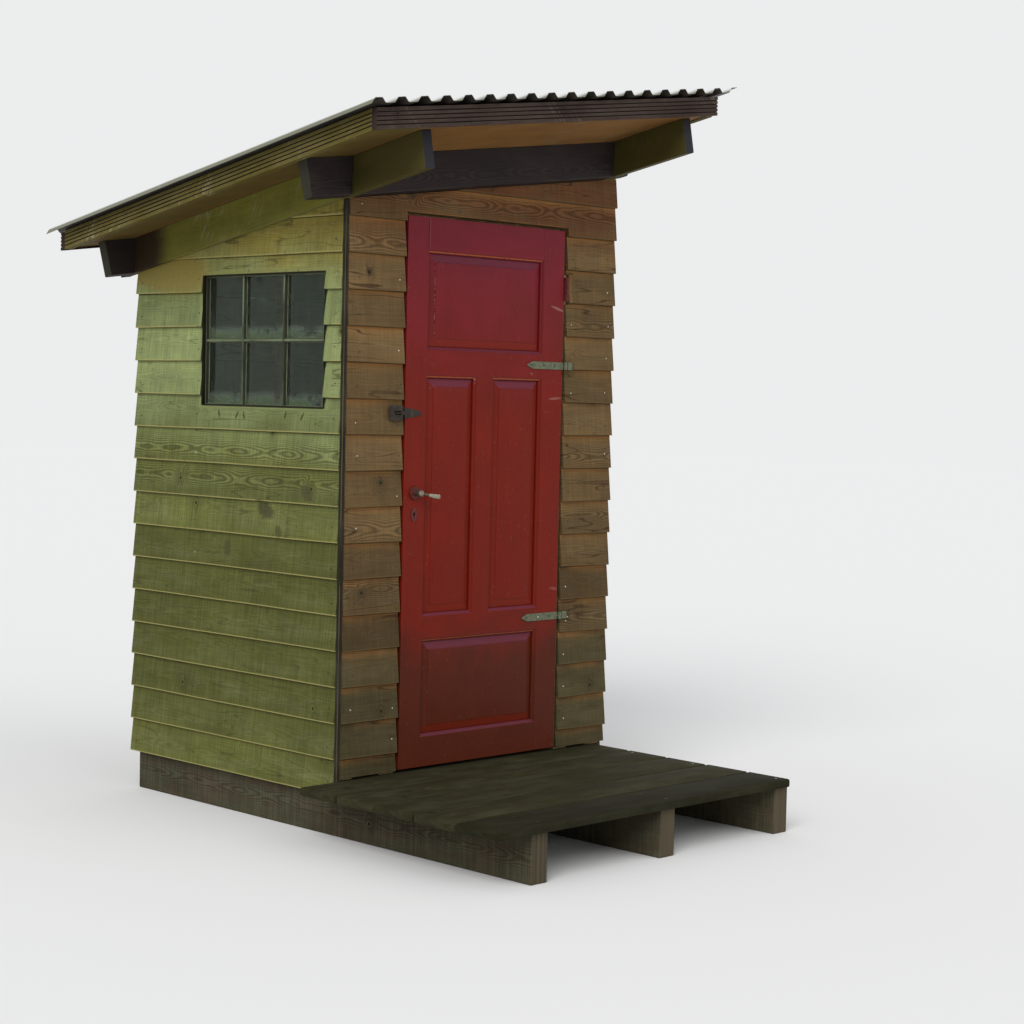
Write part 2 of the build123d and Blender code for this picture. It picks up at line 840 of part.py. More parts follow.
def make_hasp():
    """The swinging plate of the hasp, with the slot that drops over the staple."""
    third = hasp_leaf_height / 3
    plate_front = hasp_y - hasp_knuckle_radius
    plate_end = hasp_x - hasp_reach
    plate_root = plate_end + hasp_plate_length
    plate = block(
        (plate_end, plate_root),
        (plate_front, plate_front + hasp_thickness),
        (hasp_height - hasp_plate_height / 2, hasp_height + hasp_plate_height / 2),
    )
    plate = fillet(plate.edges().filter_by(Axis.Y), hasp_corner_radius)
    middle = (hasp_height - third / 2, hasp_height + third / 2)
    depth = (plate_front, plate_front + hasp_thickness)
    plate += block((plate_root - hasp_thickness, hasp_x), depth, middle)
    plate += hasp_knuckle(*middle)
    plate -= rod((hasp_x, hasp_y, middle[0]), (0, 0, 1), third, hasp_pin_radius + seat_gap)
    slot_length = staple_spacing + 2 * staple_wire + 2 * slot_clearance
    slot_height = 2 * staple_wire + 2 * slot_clearance
    plane = Plane(
        origin=(hasp_x - staple_offset, plate_front - overcut, hasp_height),
        x_dir=(1, 0, 0),
        z_dir=(0, 1, 0),
    )
    slot = plane * SlotOverall(slot_length, slot_height)
    return plate - extrude(slot, hasp_thickness + 2 * overcut)


def make_staple():
    """A wire staple on a plate, screwed to the siding beside the door."""
    low = hasp_height - staple_plate_height / 2
    seat = front_back - siding_seat(low, low + staple_plate_height) - seat_gap
    middle = hasp_x - staple_offset
    plate = block(
        (middle - staple_plate_width / 2, middle + staple_plate_width / 2),
        (seat - staple_plate_thickness, seat),
        (low, low + staple_plate_height),
    )
    root = seat - staple_plate_thickness / 2
    out = front - staple_reach
    path = FilletPolyline(
        (middle - staple_spacing / 2, root, hasp_height),
        (middle - staple_spacing / 2, out, hasp_height),
        (middle + staple_spacing / 2, out, hasp_height),
        (middle + staple_spacing / 2, root, hasp_height),
        radius=staple_bend_radius,
    )
    wire = sweep(Plane(origin=path @ 0, z_dir=path % 0) * Circle(staple_wire), path=path)
    return plate + wire


def make_parts():
    """Every piece, by name."""
    rails = rail_places()
    roof_x, roof_y = roof_outline()
    left_beam, right_beam = side_beam_sides()
    front_beam, back_beam = cross_beam_sides()
    front_low = deck_top + front_siding_lift
    board = edge_board_thickness
    notch = block(
        (opening_right - overcut, opening_right + old_hinge_notch),
        (front - overcut, front_back + overcut),
        (old_hinge_low - old_hinge_notch, old_hinge_high + old_hinge_notch),
    )
    return {
        "bearers": make_bearers(),
        "deck_planks": make_deck_planks(),
        "floor": make_floor(),
        "corner_posts": make_corner_posts(),
        "corner_strip": make_corner_strip(),
        "door_post_latch": make_door_post(opening_left, 1),
        "door_post_hinge": make_door_post(opening_right, -1),
        "door_head": make_door_head(),
        "wall_studs": make_wall_studs(),
        "front_wall_left": make_front_wall(left_back, opening_left, front_low),
        "front_wall_right": make_front_wall(opening_right, right, front_low) - notch,
        "front_wall_over_door": make_front_wall(opening_left, opening_right, opening_top),
        "left_wall": make_left_wall(),
        "right_wall": make_right_wall(),
        "back_wall": make_back_wall(),
        "window_frame": make_window_frame(),
        "window_glass": make_window_glass(),
        "left_beam": make_side_beam(left_beam),
        "right_beam": make_side_beam(right_beam),
        "front_beam": make_cross_beam(front_beam, stub_reach),
        "back_beam": make_cross_beam(back_beam, back_stub_reach),
        "roof_boards": make_roof_boards(),
        "front_edge_board": make_edge_across(roof_y[0] - board, roof_y[0]),
        "back_edge_board": make_edge_across(roof_y[1] + board, roof_y[1]),
        "left_edge_board": make_edge_along(roof_x[0] - board, roof_x[0]),
        "right_edge_board": make_edge_along(roof_x[1] + board, roof_x[1]),
        "roof_battens": make_battens(),
        "roof_sheet": make_roof_sheet(),
        "lock_stile": make_lock_stile(),
        "hinge_stile": make_hinge_stile(),
        "top_rail": make_rail(rails["top_rail"], False, True),
        "upper_rail": make_rail(rails["upper_rail"], True, True),
        "lower_rail": make_rail(rails["lower_rail"], True, True),
        "bottom_rail": make_rail(rails["bottom_rail"], True, False),
        "mullion": make_mullion(),
        "door_panels": make_door_panels(),
        "strap_hinges": make_strap_hinges(),
        "hinge_plates": make_hinge_plates(),
        "old_hinge": make_old_hinge(),
        "lock_plates": make_lock_plates(),
        "lever_handle": make_lever(),
        "hasp_leaf": make_hasp_leaf(),
        "hasp": make_hasp(),
        "staple": make_staple(),
    }


os.makedirs("parts", exist_ok=True)
for name, shape in make_parts().items():
    export_step(shape, f"parts/{name}.step")
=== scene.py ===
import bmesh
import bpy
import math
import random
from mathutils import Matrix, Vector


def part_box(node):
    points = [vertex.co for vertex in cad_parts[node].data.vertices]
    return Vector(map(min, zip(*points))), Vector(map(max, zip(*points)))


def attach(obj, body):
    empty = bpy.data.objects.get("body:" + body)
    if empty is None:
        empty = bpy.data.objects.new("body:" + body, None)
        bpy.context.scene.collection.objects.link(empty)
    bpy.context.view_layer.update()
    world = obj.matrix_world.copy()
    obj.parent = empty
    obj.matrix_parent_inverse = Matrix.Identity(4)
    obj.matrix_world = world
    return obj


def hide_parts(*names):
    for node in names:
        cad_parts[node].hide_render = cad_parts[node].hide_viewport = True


bl_info = {
    "name": "Wooden Outhouse",
    "version": (1, 0, 0),
    "blender": (4, 5, 0),
    "location": "View3D > Sidebar > Outhouse",
    "description": "Dresses the outhouse's frame with boards, a panelled door, ironmongery and a roof",
    "category": "Object",
}

from bpy.props import FloatProperty, FloatVectorProperty, IntProperty, PointerProperty
from mathutils import Matrix, Vector, noise

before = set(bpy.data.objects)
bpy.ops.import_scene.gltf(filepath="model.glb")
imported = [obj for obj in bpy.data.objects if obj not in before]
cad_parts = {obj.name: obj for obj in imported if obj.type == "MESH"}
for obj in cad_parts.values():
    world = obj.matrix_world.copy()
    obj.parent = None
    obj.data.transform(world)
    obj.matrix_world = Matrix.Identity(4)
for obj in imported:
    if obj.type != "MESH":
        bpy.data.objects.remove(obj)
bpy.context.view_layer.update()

# Places read from the frame, in metres: the walls' outer faces and backs, and the doorway
LEFT, LEFT_BACK = (corner.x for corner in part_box("left_wall"))
RIGHT_BACK, RIGHT = (corner.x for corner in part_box("right_wall"))
FRONT, FRONT_BACK = (corner.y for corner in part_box("front_wall_left"))
BACK_BACK, BACK = (corner.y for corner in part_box("back_wall"))
SIDING_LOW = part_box("left_wall")[0].z
FRONT_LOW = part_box("front_wall_left")[0].z
DOOR_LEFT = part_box("front_wall_left")[1].x
DOOR_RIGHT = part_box("front_wall_right")[0].x
DOOR_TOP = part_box("front_wall_over_door")[0].z
DOOR_FACE, DOOR_REAR = (corner.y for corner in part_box("lock_stile"))

# The plane through the undersides of the roof beams, from the front left corner
EAVES = 2.237
RISE = math.tan(math.radians(7.68))
FALL = math.tan(math.radians(10.32))
ROOF_NORMAL = Vector((-RISE, FALL, 1)).normalized()
DOWN_SLOPE = Vector((0, 1, -FALL)).normalized()
UP_SLOPE = Vector((1, 0, RISE)).normalized()
ACROSS, INWARD, UP = Vector((1, 0, 0)), Vector((0, 1, 0)), Vector((0, 0, 1))

# What a face of a piece says in the board layer: lap boards give their height there instead
GROOVE, FACE, EDGE, END = 0.1, 0.5, 0.75, 1.0

RING_WIDTH = 0.0062
WEB = (0.24, 0.22, 0.13)


def roof_height(x, y, above=0.0):
    """Height of a plane parallel to the roof over a place in plan."""
    return EAVES + RISE * (x - LEFT) - FALL * (y - FRONT) + above


def size(label, about, default):
    return FloatProperty(
        name=label, description=about, default=default, min=0.0, unit="LENGTH", precision=4
    )


def colour(label, about, default):
    return FloatVectorProperty(
        name=label, description=about, default=default, min=0.0, max=1.0, size=3, subtype="COLOR"
    )


class OuthouseSizes(bpy.types.PropertyGroup):
    """Sizes of the pieces that dress the frame."""

    exposure: size("Board exposure", "Height of each lap board that shows", 0.127)
    butt: size("Butt thickness", "Thickness of a lap board at its lower edge", 0.020)
    tip: size("Tip thickness", "Thickness of a lap board under the next one", 0.007)
    wander: size("Board wander", "How far a board's lower edge strays from straight", 0.0016)
    nail: size("Nail head", "Radius of the nail heads", 0.0032)
    bar: size("Window bar", "Width of the window's bars", 0.013)
    plank_round: size("Plank rounding", "Rounding of the deck planks' edges", 0.006)
    moulding: size("Door moulding", "Width of the moulding round the door panels", 0.011)
    sheet_round: size("Sheet bend", "Radius of the bends of the corrugated sheet", 0.004)
    seed: IntProperty(name="Timber choice", description="Picks other boards", default=7)


class OuthouseColours(bpy.types.PropertyGroup):
    """Colours of the finishes."""

    olive: colour("Olive boards", "Green-treated boards, by the window", (0.202, 0.236, 0.094))
    olive_high: colour("Olive boards, high", "The same under the eaves", (0.196, 0.156, 0.034))
    olive_low: colour("Olive boards, low", "The same near the ground", (0.096, 0.101, 0.026))
    brown: colour("Brown boards", "Weathered boards of the door wall", (0.130, 0.081, 0.034))
    brown_high: colour("Brown boards, high", "The same over the door", (0.112, 0.045, 0.018))
    # Painted shade: the low boards by the deck are darker.
    brown_low: colour("Brown boards, low", "The same near the deck", (0.056, 0.046, 0.020))
    warm: colour("Sheltered wood", "Wood just under a lap", (0.190, 0.095, 0.032))
    frame_wood: colour("Framing", "Sawn posts and studs", (0.30, 0.19, 0.095))
    beam: colour("Beam stain", "Dark stain of the roof beams", (0.027, 0.019, 0.018))
    side_beam: colour("Side beams", "Beams under the eaves", (0.158, 0.151, 0.024))
    soffit: colour("Soffit", "Underside of the roof boards", (0.215, 0.105, 0.028))
    front_edge: colour("Front edge boards", "Grooved, front and back", (0.030, 0.018, 0.014))
    side_edge: colour("Side edge boards", "Grooved, at the sides", (0.098, 0.077, 0.015))
    # The deck's dark colour is partly painted shade.
    deck: colour("Deck", "Walked planks", (0.019, 0.017, 0.006))
    door: colour("Door paint", "Red paint of the door", (0.138, 0.008, 0.002))
    # The purplish tone high on the door is a painted reflection of the sky.
    door_high: colour("Door paint, high", "Faded, under the eaves", (0.158, 0.012, 0.020))
    door_low: colour("Door paint, low", "The paint near the deck", (0.072, 0.011, 0.003))
    sheet: colour("Roof sheet", "Crests of the corrugated sheet", (0.66, 0.67, 0.65))
    # The roof growth colour also paints shade on the lower flanks of the waves.
    moss: colour("Roof growth", "Green film in the sheet's waves", (0.130, 0.128, 0.070))
    zinc: colour("Zinc", "Galvanised hinges", (0.118, 0.130, 0.080))
    iron: colour("Black iron", "Hasp and staple", (0.026, 0.021, 0.017))
    window: colour("Window wood", "Frame and bars", (0.030, 0.034, 0.020))


class Finish:
    """Builds one node material, step by step, over a base colour."""

    def __init__(self, name, roughness, shine=None):
        self.material = bpy.data.materials.new(name)
        self.material.use_nodes = True
        self.tree = self.material.node_tree
        self.shader = self.tree.nodes["Principled BSDF"]
        self.give("Roughness", roughness)
        if shine is not None:
            self.give("Specular IOR Level", shine)
        self.base = self.own = None
        coordinates = self.node("TexCoord").outputs
        self.place, self.facing = coordinates["Object"], coordinates["Normal"]
        grain = self.node("SeparateXYZ", i0=self.put("UVMap", settings={"uv_map": "grain"}))
        self.along, self.across = grain.outputs[0], grain.outputs[1]
        board = self.put("Attribute", settings={"attribute_name": "board"})
        self.tone, self.rise, self.second = self.node("SeparateColor", i0=board).outputs

    def node(self, kind, settings=None, **inputs):
        """Adds a node, with each input that is named, or numbered as i0, linked or set."""
        node = self.tree.nodes.new("ShaderNode" + kind)
        for key, value in (settings or {}).items():
            setattr(node, key, value)
        for key, value in inputs.items():
            self.feed(node.inputs[int(key[1:]) if key[1:].isdigit() else key], value)
        return node

    def put(self, kind, out=0, settings=None, **inputs):
        """Adds a node and gives one of its outputs."""
        return self.node(kind, settings, **inputs).outputs[out]

    def feed(self, socket, value):
        if isinstance(value, bpy.types.NodeSocket):
            self.tree.links.new(value, socket)
        elif isinstance(value, (tuple, list, Vector)) and len(value) == 3 and socket.type == "RGBA":
            socket.default_value = (*value, 1.0)
        else:
            socket.default_value = value

    def give(self, name, value):
        """Links or sets one of the shader's inputs."""
        self.feed(self.shader.inputs[name], value)

    def sum(self, operation, *values):
        settings = {"operation": operation}
        return self.put("Math", settings=settings, **{f"i{n}": v for n, v in enumerate(values)})

    def times(self, first, *others):
        for value in others:
            first = self.sum("MULTIPLY", first, value)
        return first

    def plus(self, value, factor, more):
        """A value times a factor, plus more."""
        return self.sum("MULTIPLY_ADD", value, factor, more)

    def band(self, value, low, high, to_low=0.0, to_high=1.0):
        """Maps a range of a value smoothly onto another range."""
        settings = {"interpolation_type": "SMOOTHSTEP"}
        return self.put(
            "MapRange", settings=settings, i0=value, i1=low, i2=high, i3=to_low, i4=to_high
        )

    def strip(self, value, start, full, last, end):
        """1 where a value is between full and last, 0 before start and after end."""
        return self.times(self.band(value, start, full), self.band(value, end, last))

    def line(self, value, width):
        """Thin lines where a cloudy value passes its middle."""
        return self.band(self.sum("ABSOLUTE", self.sum("SUBTRACT", value, 0.5)), width, 0.004)

    def coordinate(self, axis):
        """Place along one of the object's axes, in metres; 2 is the height above the ground."""
        return self.put("SeparateXYZ", out=axis, i0=self.place)

    def speckle(self, place, scale=1.0, detail=2.0, rough=0.5, twist=0.0):
        """Cloudy variation between 0 and 1."""
        return self.put(
            "TexNoise", Vector=place, Scale=scale, Detail=detail, Roughness=rough, Distortion=twist
        )

    def spot(self, x, y, z=0.0):
        return self.put("CombineXYZ", i0=x, i1=y, i2=z)

    def cloud(self, along, across, detail=2.0, rough=0.5, own=1.0):
        """Variation at its own pace along and across the grain, and its own on each board."""
        share = 0.0 if self.own is None else self.own
        if own != 1.0:
            share = self.times(share, own)
        place = self.spot(self.times(self.along, along), self.times(self.across, across), share)
        return self.speckle(place, 1.0, detail, rough)

    def mark(self, centre, reach, turn=0.0, about="X"):
        """A soft spot on the piece, 1 in the middle, stretched and turned about an axis."""
        angles = [math.radians(turn if axis == about else 0.0) for axis in "XYZ"]
        settings = {"vector_type": "TEXTURE"}
        place = self.put("Mapping", settings=settings, i0=self.place, i1=centre, i2=angles, i3=reach)
        rough = self.speckle(self.place, 60.0, 3.0)
        soft = self.put("TexGradient", out=1, settings={"gradient_type": "SPHERICAL"}, i0=place)
        return self.band(self.plus(rough, 0.5, self.sum("SUBTRACT", soft, 0.25)), 0.05, 0.45)

    def blend(self, amount, first, second, way="MIX"):
        settings = {"data_type": "RGBA", "blend_type": way}
        return self.put("Mix", out=2, settings=settings, i0=amount, i6=first, i7=second)

    def shaded(self, tone, amount, low, high):
        """A colour that a variation darkens and lightens."""
        level = self.put("MapRange", i0=amount, i1=0.25, i2=0.75, i3=low, i4=high)
        grey = self.put("CombineColor", i0=level, i1=level, i2=level)
        return self.blend(1.0, tone, grey, "MULTIPLY")

    def shade(self, amount, low, high):
        self.base = self.shaded(self.base, amount, low, high)

    def tint(self, tone, *amounts):
        """Lays a colour over the base, as strongly as the product of the amounts says."""
        self.base = self.blend(self.times(*amounts), self.base, tone)

    def finish(self, rough=None, height=None, depth=0.001, strength=1.0):
        self.give("Base Color", self.base)
        if rough is not None:
            self.give("Roughness", rough)
        if height is not None:
            self.give("Normal", self.put("Bump", Height=height, Distance=depth, Strength=strength))
        return self.material


def darker(tone, factor):
    return tuple(channel * factor for channel in tone)


def towards(first, second, share):
    return tuple(a + (b - a) * share for a, b in zip(first, second))


def growth_rings(f, knots, figure, drift):
    """Rings as the face cuts them, bent round a few knots, and the parts of the knots."""
    place = f.spot(f.times(f.along, 9.0), f.times(f.across, 9.0))
    cells = f.node("TexVoronoi", {"voronoi_dimensions": "2D"}, Vector=place, Scale=1.0)
    chosen = f.put("SeparateColor", i0=cells.outputs["Color"])
    picked = f.band(chosen, 1.0 - knots, 1.0 - knots + 0.002)
    pull, heart, bark, light = (
        f.times(f.band(cells.outputs["Distance"], out, within), picked)
        for out, within in ((0.55, 0.03), (0.075, 0.045), (0.155, 0.130), (0.125, 0.105))
    )
    depth = f.plus(drift, 0.085, -0.018)
    ripple = f.cloud(22.0, 60.0)
    squares = f.sum("ADD", f.sum("POWER", f.across, 2.0), f.sum("POWER", depth, 2.0))
    radius = f.plus(pull, 0.030, f.sum("SQRT", squares))
    radius = f.plus(ripple, 0.0042, radius)
    wave = f.sum("SINE", f.times(radius, 2 * math.pi / RING_WIDTH))
    zone = f.sum("MAXIMUM", f.band(f.sum("ABSOLUTE", f.across), 0.050, 0.018, 0.22, 1.0), pull)
    share = f.sum("MAXIMUM", f.band(f.second, 1.0 - figure, 1.12 - figure, 0.25, 1.0), pull)
    return f.plus(f.times(wave, f.times(zone, share)), 0.25, 0.5), pull, heart, bark, light


def timber_finish(
    name, pale, dark, knots=0.05, rings=0.6, saw=0.5, grey=None, weather=0.0, spread=0.14,
    figure=0.5, roughness=0.82, warm=None, lip_highlight=None, lap_shadow=0.85, relief=0.0007, ends=None,
    worn=None, groove_shade=None, wisps=0.0, webs=0.0, levels=(), marks=(), fades=(),
):
    """Sawn or planed timber: growth rings, knots, fibres, saw marks, cobwebs and weather; also painted
    shadow under the laps and in grooves, and painted highlights along the laps' lower edges.
    """
    f = Finish(name, roughness, 0.10)
    f.own = f.times(f.second, 37.0)
    f.base = pale
    drift = f.cloud(2.6, 3.0)
    if levels:
        height = f.plus(drift, 0.35, f.sum("SUBTRACT", f.coordinate(2), 0.175))
        for level, tone in levels:
            f.tint(tone, f.band(height, level - 0.15, level + 0.15))
    ring, pull, heart, bark, light = growth_rings(f, knots, figure, drift)
    fibre = f.cloud(7.0, 340.0, 3.0)
    teeth = f.cloud(230.0, 7.0)
    combs = f.cloud(46.0, 5.0)
    blot = f.cloud(3.2, 8.0, 4.0, 0.6)
    if grey is not None:
        patch = f.cloud(5.0, 16.0, 4.0, 0.65)
        middle = f.strip(f.rise, 0.0, 0.3, 0.5, 0.85)
        f.tint(grey, f.band(patch, 0.38, 0.66), f.plus(middle, 0.7, 0.3), weather)
    if webs:
        slant = f.plus(f.across, -12.0, f.times(f.along, 15.0))
        strands = f.speckle(f.spot(slant, f.plus(f.across, 3.0, f.along), f.own), twist=0.8)
        tufts = f.cloud(4.0, 6.0, 1.0, own=1.3)
        f.tint(WEB, f.line(strands, 0.028), f.band(tufts, 0.50, 0.62, 0.0, webs))
    if warm is not None:
        f.tint(warm, f.band(f.rise, 0.70, 1.0), f.band(blot, 0.34, 0.64, 0.15, 0.85))
    f.shade(f.tone, 1.0 - spread, 1.0 + spread)
    f.shade(ring, 1.0 - 0.5 * rings, 1.0 + 0.5 * rings)
    f.tint(dark, pull, 0.35)
    f.tint(dark, bark, 0.55)
    f.tint(darker(pale, 1.25), light, 0.75)
    f.tint(darker(dark, 0.5), heart, 0.90)
    if wisps:
        lines = f.cloud(2.4, 24.0, 1.0)
        some = f.cloud(3.1, 9.0, 1.0, own=1.7)
        f.tint(dark, f.line(lines, 0.016), f.band(some, 0.47, 0.60, 0.0, wisps))
    f.shade(fibre, 0.84, 1.12)
    f.shade(teeth, 1.0 - 0.36 * saw, 1.0 + 0.30 * saw)
    f.shade(combs, 1.0 - 0.16 * saw, 1.0 + 0.13 * saw)
    f.shade(blot, 0.78, 1.20)
    if warm is not None:
        sheltered = f.strip(f.rise, 0.925, 0.945, 0.965, 0.975)
        f.tint((0.250, 0.115, 0.034), sheltered, f.band(blot, 0.35, 0.60, 0.1, 0.75))
    # Painted shadow: a dark line along the top of each lap board, just under the lower edge of the board
    # above; painted highlight: a pale line along each board's own lower edge.
    if lip_highlight is not None:
        f.tint(darker(dark, 0.30), f.band(f.rise, 0.972, 0.990), lap_shadow)
        f.tint(lip_highlight, f.band(f.rise, 0.050, 0.018), 0.75)
    # Painted shade in the grooves of the edge boards.
    if groove_shade is not None:
        f.tint(groove_shade, f.band(f.rise, 0.30, 0.20), 0.9)
    if worn is not None:
        f.tint(worn, f.strip(f.rise, 0.60, 0.72, 0.78, 0.90), f.band(blot, 0.35, 0.6))
    for centre, reach, turn, tone, share in marks:
        f.tint(tone, f.mark(centre, reach, turn), share)
    for axis, start, end, tone, share in fades:
        place = f.plus(blot, (end - start) * 0.8, f.coordinate(axis))
        middle = (end - start) * 0.4
        amount = f.band(place, start + middle, end + middle, 0.0, share)
        f.tint(f.shaded(tone, blot, 0.8, 1.25), amount)
    if ends is not None:
        f.tint(f.shaded(ends, blot, 0.8, 1.2), f.band(f.rise, 0.86, 0.96))
    height = f.plus(ring, 0.5 * rings, f.plus(teeth, 0.45 * saw, f.times(fibre, 0.35)))
    return f.finish(f.plus(blot, 0.16, roughness - 0.08), height, relief)


def paint_finish(name, low, pale, high, chips):
    """Brushed paint on old joinery: purplish high up and on faces turned up, a painted reflection of the
    sky, and orange facing down.
    """
    f = Finish(name, 0.42, 0.12)
    f.own = f.times(f.second, 23.0)
    brush = f.cloud(5.0, 260.0, 3.0)
    cloud = f.cloud(5.0, 9.0, 4.0, 0.6)
    grit = f.cloud(130.0, 130.0)
    level = f.coordinate(2)
    height = f.plus(cloud, 0.3, f.sum("SUBTRACT", level, 0.15))
    f.base = low
    f.tint(pale, f.band(height, 0.52, 0.80))
    # Painted reflection: the paint turns purplish high up.
    f.tint(high, f.band(height, 1.45, 2.20))
    f.shade(cloud, 0.86, 1.12)
    f.shade(brush, 0.92, 1.07)
    sideways, _, upward = f.node("SeparateXYZ", i0=f.facing).outputs
    # Painted reflection: faces turned up take a purplish tint from the sky.
    f.tint((0.112, 0.022, 0.042), f.band(upward, 0.04, 0.16, 0.0, 0.70))
    f.tint((0.185, 0.016, 0.005), f.band(upward, -0.04, -0.16, 0.0, 0.55))
    f.tint(darker(low, 0.5), f.strip(f.rise, 0.66, 0.72, 0.78, 0.84), 0.45)
    # Painted shade with dirt: darker in the grooves and crevices round the panels.
    f.tint(darker(pale, 0.35), f.band(f.rise, 0.12, 0.0), 0.45)
    # Orange on the eased edges that face down.
    down_edges = f.times(f.band(f.rise, 0.70, 0.95), f.band(upward, -0.10, -0.30))
    f.tint(chips, down_edges, f.band(grit, 0.28, 0.46), 0.90)
    flaking = f.times(f.band(sideways, -0.05, -0.2), f.band(f.rise, 0.55, 0.8))
    on_top_panel = f.times(f.band(level, 1.60, 1.64), f.band(f.coordinate(0), 0.0, -0.03))
    f.tint((0.33, 0.20, 0.19), flaking, f.band(grit, 0.47, 0.56), on_top_panel, 0.8)
    f.tint(chips, f.band(grit, 0.760, 0.80), 0.4)
    smears = (
        (0.375, 1.902, 0.048, 0.007, 14.0, 0.40), (0.368, 1.560, 0.042, 0.006, -4.0, 0.30),
        (0.240, 1.652, 0.012, 0.004, 35.0, 0.30), (0.385, 0.830, 0.030, 0.007, 8.0, 0.20),
    )
    for x, z, long, thick, turn, share in smears:
        smear = f.mark((x, -0.62, z), (long, 0.03, thick), turn, "Y")
        f.tint((0.34, 0.20, 0.16), smear, share)
    # Painted shade: black where the keyhole is, as in a hole without light.
    f.tint((0.004, 0.001, 0.001), f.mark((-0.349, -0.615, 1.136), (0.014, 0.03, 0.018), 0.0, "Y"))
    stile, (rail_low, rail_high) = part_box("lock_stile")[1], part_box("top_rail")
    middle, half = (rail_low.z + rail_high.z) / 2, 0.75 * (rail_high.z - rail_low.z)
    seam = ((0.0, 0.0036, (0.040, 0.004, 0.006), 0.85), (0.0052, 0.0034, (0.230, 0.060, 0.070), 0.5))
    for off, reach, tone, share in seam:
        line = f.mark((stile.x + off, stile.y - 0.04, middle), (reach, 0.1, half), 0.0, "Y")
        f.tint(tone, line, share)
    lift = f.plus(brush, 0.5, f.times(cloud, 0.8))
    return f.finish(f.plus(cloud, 0.22, 0.40), lift, 0.0006)


def metal_finish(
    name, tone, patch_tone, metallic, roughness, patches=0.5, pits=0.0004, fine=90.0, marks=()
):
    """Small ironmongery: mottled plating, with rust or dirt and a tone for each solid."""
    f = Finish(name, roughness, 0.2)
    mottle = f.speckle(f.place, fine, 3.0, 0.6)
    patch = f.speckle(f.place, fine * 0.3, 5.0, 0.65)
    f.base = darker(tone, 0.72)
    f.tint(darker(tone, 1.28), f.band(mottle, 0.3, 0.7))
    f.tint(patch_tone, f.band(patch, 0.50, 0.68), patches)
    f.shade(f.tone, 0.92, 1.08)
    for centre, reach, mark_tone, share in marks:
        f.tint(mark_tone, f.mark(centre, reach, 0.0, "Y"), share)
    f.give("Metallic", metallic)
    return f.finish(f.plus(patch, 0.35, roughness - 0.15), mottle, pits)


def nail_finish(name, bright):
    """Nail heads, most of them dark, a share of them still bright."""
    f = Finish(name, 0.5)
    f.give("Metallic", 0.3)
    f.base = (0.022, 0.017, 0.013)
    f.tint((0.42, 0.40, 0.36), f.band(f.tone, 1.0 - bright, 1.0 - bright + 0.02))
    pits = f.speckle(f.place, 500.0, 2.0)
    f.shade(pits, 0.8, 1.2)
    return f.finish(None, pits, 0.0003)


def sheet_finish(name, pale, moss):
    """Pale corrugated sheet: clean crests, green film in the waves that is partly painted shade, and
    painted shade with dust underneath.
    """
    f = Finish(name, 0.42, 0.3)
    wash = f.cloud(1.6, 34.0, 4.0, 0.6)
    film = f.cloud(9.0, 12.0, 5.0, 0.65)
    f.base = darker(pale, 1.06)
    f.tint(darker(pale, 0.72), f.band(wash, 0.35, 0.75))
    # Green growth low in the waves, partly painted shade on the flanks.
    f.tint(moss, f.band(f.rise, 0.93, 0.70), f.band(film, 0.18, 0.42, 0.55, 1.0), 0.92)
    f.tint(darker(moss, 1.5), f.band(film, 0.60, 0.74), 0.4)
    # Painted shade with dust: the underside is dark.
    f.tint(f.shaded((0.040, 0.034, 0.026), film, 0.7, 1.4), f.band(f.rise, 0.16, 0.08))
    return f.finish(f.plus(film, 0.3, 0.32), film, 0.0008)


def glass_finish(name):
    """Old clear glass, a little wavy, with dust and a green haze along its lower edges."""
    f = Finish(name, 0.03, 0.20)
    f.give("IOR", 1.22)
    # Painted reflection: the reflection is tinted green, as of leaves.
    f.give("Specular Tint", (0.55, 0.80, 0.55))
    dust = f.speckle(f.place, 28.0, 5.0, 0.65)
    haze = f.times(f.band(f.rise, 0.70, 1.0), f.band(dust, 0.30, 0.60), 0.16)
    film = f.sum("MAXIMUM", haze, f.band(dust, 0.55, 0.85, 0.01, 0.08))
    f.base = (0.80, 0.90, 0.80)
    f.tint((0.34, 0.48, 0.24), f.band(film, 0.0, 0.16))
    f.give("Transmission Weight", f.sum("SUBTRACT", 1.0, film))
    return f.finish(f.band(dust, 0.45, 0.8, 0.02, 0.22), f.speckle(f.place, 6.0, 2.0), 0.004, 0.35)


def olive_marks():
    """Slanting stains under the window, the faded top board and dark patches on the left wall."""
    marks = [
        ((LEFT, y, z), (0.03, 0.007, 0.022), turn, (0.030, 0.028, 0.014), 0.75)
        for y, z, turn in (
            (0.090, 1.478, -22), (-0.020, 1.476, 30), (-0.300, 1.480, 10), (-0.395, 1.476, 28),
            (-0.06, 1.473, -20),
        )
    ]
    return marks + [
        ((LEFT, 0.470, 2.030), (0.05, 0.420, 0.120), 10, (0.225, 0.168, 0.042), 0.80),
        ((LEFT, -0.190, 1.135), (0.03, 0.075, 0.040), 20, (0.040, 0.036, 0.020), 0.70),
        ((LEFT, -0.275, 1.062), (0.03, 0.030, 0.022), 60, (0.050, 0.040, 0.022), 0.60),
        ((LEFT, -0.430, 1.205), (0.03, 0.055, 0.030), 35, (0.050, 0.046, 0.026), 0.55),
        ((LEFT, 0.030, 0.985), (0.03, 0.030, 0.045), 0, (0.050, 0.040, 0.022), 0.45),
    ]


def plate_shade_marks():
    """Painted shade in the gaps of the hinge plates, beside the knuckles and at the outer ends."""
    low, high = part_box("hinge_plates")
    joints = ((low.x + 0.28 * (high.x - low.x), 0.0075, 0.9), (high.x + 0.001, 0.0085, 0.85))
    return [
        ((x, low.y, z), (reach, 0.06, 0.050), (0.010, 0.012, 0.008), share)
        for z in (low.z + 0.014, high.z - 0.014) for x, reach, share in joints
    ]


